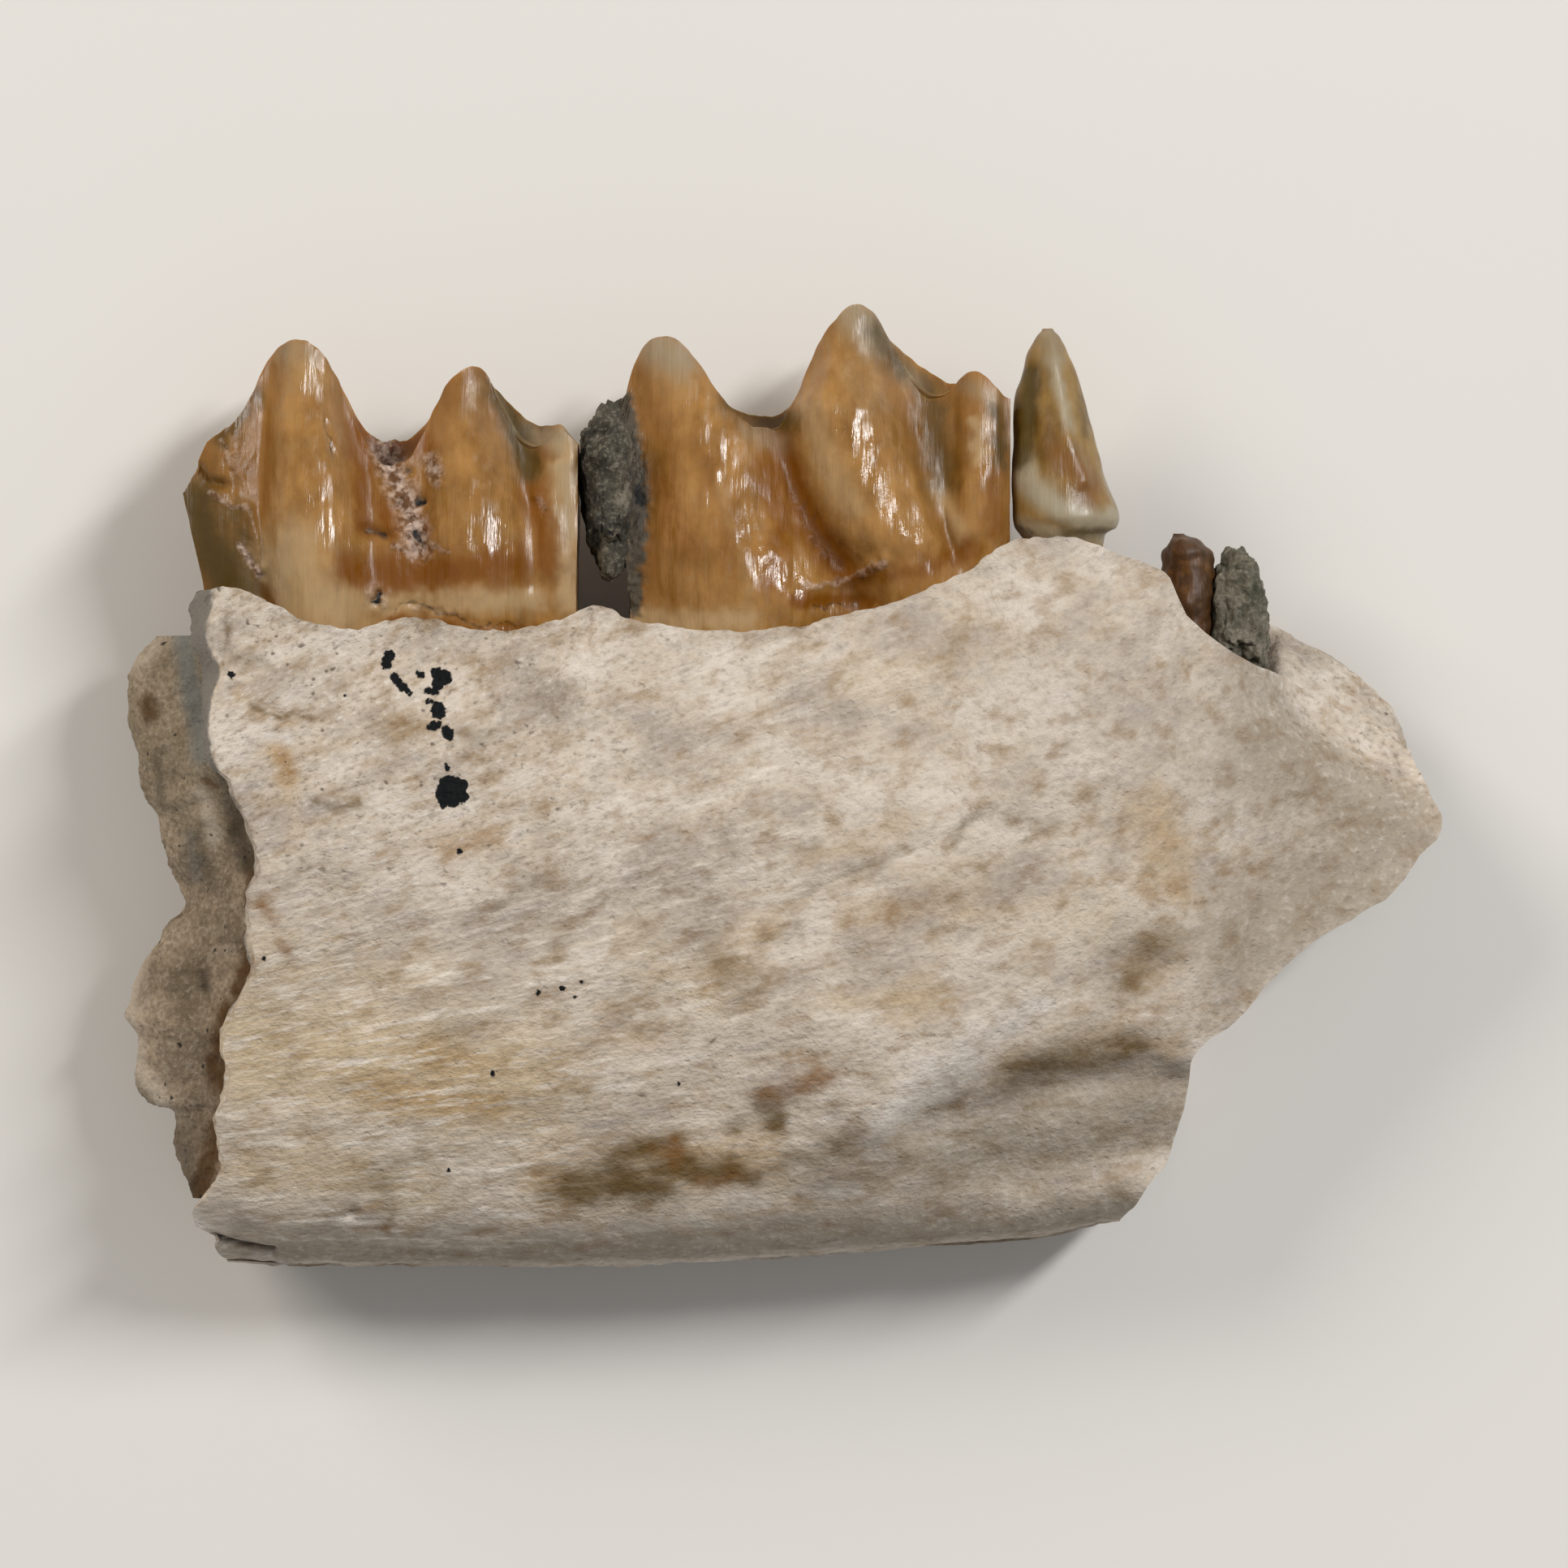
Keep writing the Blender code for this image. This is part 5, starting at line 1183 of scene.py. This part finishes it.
def level_rings(levels, sides, steps):
    """Rings through levels of (y, back x, front x, half thickness, middle z)."""
    heights = [level[0] for level in levels]
    y = np.linspace(heights[0], heights[-1], steps)[:, None]
    back, front, thick, middle = (
        along([(level[0], level[k]) for level in levels], y) for k in range(1, 5)
    )
    angle = np.linspace(0.0, 2.0 * math.pi, sides, endpoint=False)[None]
    x = mix(back, front, 0.5 - 0.5 * np.cos(angle))
    return np.stack(np.broadcast_arrays(x, y, middle + thick * np.sin(angle)), axis=-1)


premolar = stacked("premolar_spire", level_rings(PREMOLAR_LEVELS, sides=96, steps=150))
join_into(premolar, [root_cone(5.0, 0.55, 0.8, depth=4.0, top=4.0)])
points, _ = places_of(premolar)
x, y, z = points.T
folds = sum(drawn(x, y, PREMOLAR_RELIEF)) * ease(2.5, 3.0, z)
lines = 0.012 * bumps(points, (0.10, 1.2, 0.3), 2.0) + 0.02 * bumps(points, 0.4, 6.0)
carve(premolar, folds + lines * above_rim(x, y))
mark_tooth(premolar, points, PREMOLAR_MARKS, 0.08, ease(1.8, 2.6, z))
olive_enamel = fossil_enamel("weathered_fossil_enamel", body="9A783A", deep="735426", pale="A59B84",
                             polish_range=(0.30, 0.48))
finish_piece(premolar, olive_enamel, "broken_premolar")

# %% Root stub
STUB_LEVELS = [
    (2.4, 6.8, 7.6, 0.66, 2.45), (3.2, 6.78, 7.62, 0.7, 2.45), (3.8, 6.74, 7.66, 0.68, 2.45),
    (4.15, 6.78, 7.62, 0.58, 2.5), (4.35, 6.86, 7.4, 0.42, 2.55), (4.48, 6.95, 7.12, 0.15, 2.6),
]


def stained_dentine():
    """Dentine is the softer core of a tooth: matt, and here soaked dark brown with iron."""
    material, tree, shader, place = start_material("iron_stained_dentine")
    lengthwise = grain(tree, place, (0.12, 0.7, 0.12), 4.0)
    patches = grain(tree, place, (0.35, 0.35, 0.35))
    colour = lay_all(tree, linear("281809"), [
        (lay_pattern, lengthwise, "5E3B17", 0.0, 1.0),
        (lay_pattern, patches, "8A5C26", 0.55, 0.75, 0.45),
    ])
    bump = add(tree, "Bump", {"Height": lengthwise, "Strength": 0.6, "Distance": 0.05 * MM})
    fill(tree, shader, {"Base Color": colour, "Roughness": 0.5, "Normal": bump})
    return material


stub = stacked("root_stub_surface", level_rings(STUB_LEVELS, sides=56, steps=60))
join_into(stub, [root_cone(7.15, 0.42, 0.7, depth=3.2, top=2.7)])
points, _ = places_of(stub)
worn = 0.09 * bumps(points, 0.45, 2.7) + 0.04 * bumps(points, 0.16, 5.0)
carve(stub, worn * ease(2.2, 2.6, points[:, 1]))
finish_piece(stub, stained_dentine(), "root_stub")

# %% [markdown]
# ## Sediment
#
# The jaw was buried in silt, and some of it is still stuck in the break at the back, between the
# molars and in the empty socket in front. It is a dull grain of quartz and clay, cemented by lime:
# rounded lumps with pits, dark specks, rusty seams along the bone, and no gloss at all. The rusty
# seams along the bone and the blue-grey trough beside the wall are partly painted shade, and the
# pale outer edge of the fill is partly a painted rim light. Lumps are balls pulled to size and
# roughened; the fill in the break follows the wall it clings to.


# %% Lumps of sediment
def sediment_lump(name, middle, halves, rough, seed, detail, taper):
    """A ball pulled to size, squared a little, widened to its top by the taper, and roughened."""
    work = bmesh.new()
    bmesh.ops.create_icosphere(work, subdivisions=5, radius=1.0)
    ball = np.array([vertex.co[:] for vertex in work.verts])
    work.verts.index_update()
    faces = [[vertex.index for vertex in face.verts] for face in work.faces]
    work.free()
    block = np.sign(ball) * abs(ball) ** 0.8 * np.array(halves)
    block[:, 0] *= 1.0 + taper * ball[:, 1]
    swell = 1.0 + rough * bumps(block, 0.55, seed) + 0.5 * rough * bumps(block, 0.26, seed)
    swell += detail * bumps(block, 0.13, seed + 3.0, octaves=3)
    return new_piece(name, np.array(middle) + block * swell[:, None], faces)


def lime_sediment(name, body, dark, pale, speck):
    """Silt set hard by lime: dull and granular. Its grains are under 0.05 mm and drawn twice as wide."""
    material, tree, shader, place = start_material(name)
    clouds = grain(tree, place, (1.0, 1.0, 1.0), 5.0)
    blotches = grain(tree, place, (0.38, 0.38, 0.38), 5.0)
    silt = grain(tree, place, (0.09, 0.09, 0.09), 6.0)
    sand = grain(tree, place, (0.20, 0.20, 0.20), 1.0)
    colour = lay_all(tree, linear(dark), [
        (lay_pattern, clouds, body, 0.36, 0.64),
        (lay_pattern, blotches, dark, 0.46, 0.28, 0.60),
        (lay_pattern, blotches, pale, 0.54, 0.74, 0.55),
        (lay_mark, "smooth_lobe", "9E8E74", blotches, 0.50, 0.8, 1.0),
        (lay_pattern, silt, dark, 0.50, 0.34, 0.75),
        (lay_pattern, silt, pale, 0.54, 0.74, 0.60),
        # rust stain, partly painted shade along the wall
        (lay_mark, "rust_seam", "553710", blotches, 0.92, 1.5, 0.9),
        # blue-grey trough, partly painted shade
        (lay_mark, "blue_groove", "777B78", blotches, 0.75, 0.5, 1.0),
        (lay_mark, "dark_patch", "4B4335", blotches, 0.75, 0.9, 1.0),
        # paler edge, partly a painted rim light
        (lay_mark, "pale_rim", pale, blotches, 0.80, 0.6, 1.0),
        (lay_pattern, sand, speck, 0.29, 0.22, 0.90),
    ])
    relief = add(tree, "Math", {0: sand, 1: 0.8, 2: silt}, operation="MULTIPLY_ADD")
    bump = add(tree, "Bump", {"Height": relief, "Strength": 0.85, "Distance": 0.08 * MM})
    fill(tree, shader, {"Base Color": colour, "Roughness": 0.86, "Normal": bump})
    return material


grey_silt = lime_sediment("grey_lime_silt", body="686152", dark="302D25", pale="ACA390", speck="12110F")
crust_lump = sediment_lump("crust_between_molars", (-3.04, 5.2, 2.6), (0.50, 1.45, 1.15),
                           rough=0.25, seed=8.3, detail=0.08, taper=0.4)
finish_piece(crust_lump, grey_silt, "sediment_between_molars")
pale_silt = lime_sediment("pale_lime_silt", body="837B6B", dark="4A4838", pale="AFA796", speck="2B2A24")
socket_lump = sediment_lump("lump_in_socket", (8.08, 3.05, 2.2), (0.50, 1.08, 0.85),
                            rough=0.26, seed=5.9, detail=0.12, taper=-0.25)
finish_piece(socket_lump, pale_silt, "sediment_in_socket")

# %% Slices of the sediment in the back break
SEDIMENT_BREAK = [
    (-7.45, -10.35), (-6.8, -10.7), (-5.75, -10.9), (-5.6, -11.3), (-5.05, -11.5), (-4.5, -11.5),
    (-4.1, -11.7), (-3.7, -11.5), (-3.3, -11.45), (-2.85, -11.25), (-2.5, -11), (-2.1, -10.65),
    (-1.75, -10.7), (-1.35, -10.9), (-0.9, -11.1), (-0.45, -11.15), (-0.2, -11.35), (0.25, -11.45),
    (0.8, -11.55), (1.3, -11.65), (1.65, -11.65), (2.1, -11.55), (2.45, -11.35), (2.68, -11.1),
]
WALL_GAP = 0.12  # the fill keeps this far off the wall
FILL_LOW, FILL_HIGH = -7.3, 2.68
FILL_SLICES, OUTER_STEPS, INNER_STEPS = 200, 72, 14
CHEEK_SHARE, TONGUE_SHARE = 0.17, 0.8  # where the fill meets the two walls of bone


def fill_rings(heights, outer_steps, inner_steps):
    """Slices across the fill: round its worn outside, then back along the wall it clings to."""
    y = heights[:, None]

    def inner_x(share):
        end = mix(along(CHEEK_BREAK, y), along(TONGUE_BREAK, y), share) + RECESS - WALL_GAP
        return end - 0.3 * ease(1.2, 2.4, y) - 0.5 * ease(-6.4, FILL_LOW, y)

    def depth_z(x, share):
        border = along(LOWER_BORDER, x)
        row = (y - border) / (along(CHEEK_RIM, x) - border)
        return mix(cheek_z(x, y, row), tongue_z(x, y, row), share)

    share = np.linspace(CHEEK_SHARE, TONGUE_SHARE, outer_steps)[None]
    edge = along(CHEEK_BREAK, y) + 0.05
    reach = along(SEDIMENT_BREAK, y)
    x = mix(edge, reach, np.sin(0.5 * math.pi * ease(0.0, 1.0, (share - 0.14) / 0.62)))
    x = mix(x, reach + 0.25, ease(0.74, 0.84, share))
    groove = 0.28 * hump(share, 0.3, 0.1) * ease(0.4, 1.2, y)
    x = np.minimum(x + groove + lump(x, y, share * 5.0, 0.8, 0.16, 4.4), inner_x(share) - 0.2)
    outer = np.stack(np.broadcast_arrays(x, y, depth_z(x, share)), axis=-1)
    share = np.linspace(TONGUE_SHARE, CHEEK_SHARE, inner_steps)[None]
    x = inner_x(share)
    inner = np.stack(np.broadcast_arrays(x, y, depth_z(x, share)), axis=-1)
    return np.concatenate([outer, inner], axis=1)


# %% Grow, carve and mark the fill
slices = np.linspace(FILL_LOW, FILL_HIGH, FILL_SLICES)
break_fill = stacked("sediment_fill", fill_rings(slices, OUTER_STEPS, INNER_STEPS))
points, _ = places_of(break_fill)
x, y, z = points.T
rounded = 0.05 * bumps(points, 0.55, 3.0) + 0.045 * bumps(points, 0.22, 6.0, octaves=3)
rounded += 0.03 * bumps(points, 0.11, 9.0) * ease(0.5, -1.5, y)
rounded -= 0.10 * near(x, y, (-10.25, -0.55), 0.34) - 0.16 * near(x, y, (-10.2, -0.55), 0.2)
carve(break_fill, rounded * ease(FILL_LOW, -7.0, y) * ease(FILL_HIGH, 2.4, y))
FILL_MARKS = {
    # Rusty stain along the bone wall, partly painted shade where the fill meets the wall
    "rust_seam": [
        (-9.35, -1.3, -9.3, -2.1, 0.2, 0.9), (-9.25, -2.7, -9.6, -3.6, 0.2, 0.9),
        (-9.75, -4, -9.95, -4.9, -9.8, -5.3, 0.32, 1), (-9.9, -5.8, -10.1, -6.3, 0.26, 0.95),
        (-10.05, -6.5, -10.2, -6.9, -10.4, -7.3, 0.26, 1), (-11.25, 1.5, -11.2, 1.3, 0.22, 0.75),
        (-10, 0, -10.2, 0.1, 0.1, 0.7), (-9.6, -0.6, -9.4, -1.2, 0.2, 0.6),
    ],
    "dark_patch": [
        (-9.8, 0.3, -9.6, -0.7, -9.4, -1.3, 0.28, 0.9), (-10.7, -6.2, -10.6, -7.1, 0.26, 0.8),
        (-11.1, 0.4, -11, -0.3, 0.12, 0.6), (-10.25, -3.3, -10.2, -3.55, 0.11, 1),
        (-10.4, -0.8, -10.1, -1.8, 0.18, 0.5), (-11.5, -4.4, 0.08, 0.8),
    ],
    # Blue-grey of the trough beside the wall, partly painted shade in it
    "blue_groove": [
        (-10.6, 2.6, -10.5, 1.9, -10.3, 1.1, -10.25, 0.6, 0.24, 1),
        (-10.5, -0.9, -10.4, -1.6, 0.2, 0.5),
    ],
    # Paler edge, partly a painted rim light along the fill's outer silhouette
    "pale_rim": [
        (-11.5, -2.9, -11.65, -4, -11.45, -5, -11, -5.6, 0.22, 0.9),
        (-10.3, -0.1, -10.1, -0.6, -10.1, -0.9, 0.16, 0.75), (-11.5, 2.2, -11.1, 2.5, 0.2, 0.5),
    ],
}
for name, strokes in FILL_MARKS.items():
    mark(break_fill, name, strongest(x, y, strokes))
mark(break_fill, "smooth_lobe", ease(-1.9, -0.4, y))
tan_silt = lime_sediment("tan_lime_silt", body="B6A28A", dark="7A6A55", pale="CFC0AD", speck="1F1B16")
finish_piece(break_fill, tan_silt, "sediment_in_break")

# %% [markdown]
# ## Floor, light and camera
#
# The fossil lies on a plain pale floor. It is far too small for ordinary studio lamps, so the
# lamps are small and near. A broad soft one high on the left models the lobes and the ledge. It
# is kept out of the gloss, so that the glints come from the second lamp alone: a long strip high
# on the right, which draws them down the enamel a little right of each lobe's middle. An even
# pale sky opens the shadows. The camera looks straight down through a long lens, because a
# close-up of a small flat thing shows hardly any perspective.

# %% Floor and lights
FLOOR_SIZE = 600.0
LAMP_AIM = (0.0, 0.0, 2.0)


def painted_floor():
    """Matt painted board: even and pale, with only a trace of unevenness."""
    material, tree, shader, place = start_material("matt_painted_board")
    cloudy = grain(tree, place, (40.0, 40.0, 40.0))
    colour = lay_pattern(tree, linear("DEDBD5"), cloudy, "E4E1DC", 0.0, 1.0)
    fill(tree, shader, {"Base Color": colour, "Roughness": 0.9})
    return material


bpy.ops.mesh.primitive_plane_add(size=FLOOR_SIZE * MM)
floor = bpy.context.object
floor.name = "floor"
floor.data.materials.append(painted_floor())


def add_lamp(name, place, width, length, power, colour):
    """A soft rectangular lamp that looks at the teeth, in mm and watts."""
    data = bpy.data.lights.new(name, "AREA")
    data.shape = "RECTANGLE"
    data.size = width * MM
    data.size_y = length * MM
    data.energy = power
    data.color = linear(colour)[:3]
    lamp = bpy.data.objects.new(name, data)
    bpy.context.scene.collection.objects.link(lamp)
    lamp.location = [value * MM for value in place]
    away = Vector(place) - Vector(LAMP_AIM)
    lamp.rotation_euler = away.to_track_quat("Z", "Y").to_euler()
    return lamp


window = add_lamp("window_left", (-150.0, 120.0, 150.0), 120.0, 120.0, 0.29, "FFF6EA")
window.visible_glossy = False
add_lamp("strip_right", (150.0, 108.0, 205.0), 28.0, 115.0, 0.46, "FFFFFF")
world = bpy.data.worlds.new("pale_sky")
world.use_nodes = True
sky = world.node_tree.nodes["Background"]
fill(world.node_tree, sky, {"Color": linear("F4F6FA"), "Strength": 0.31})
bpy.context.scene.world = world
bpy.context.scene.view_settings.view_transform = "Standard"
print(len(bpy.data.lights), "lamps and a pale sky")

# %% Camera
PHOTO_PIXELS = 1932
PIXELS_PER_MM = 70.0
PHOTO_CENTRE = (0.03, 0.05)  # what the middle of the photograph looks at, in mm
SHARP_HEIGHT = 4.2  # height at which the picture's scale holds
LENS = 250.0

camera_data = bpy.data.cameras.new("camera")
camera_data.lens = LENS
camera_data.sensor_width = 36.0
frame_width = PHOTO_PIXELS / PIXELS_PER_MM
distance = frame_width * LENS / camera_data.sensor_width
camera_data.clip_start = 0.01
camera_data.clip_end = 10.0
camera = bpy.data.objects.new("camera", camera_data)
bpy.context.scene.collection.objects.link(camera)
camera.location = (PHOTO_CENTRE[0] * MM, PHOTO_CENTRE[1] * MM, (SHARP_HEIGHT + distance) * MM)
bpy.context.scene.camera = camera
print("the camera hangs", round(distance), "mm above the fossil")
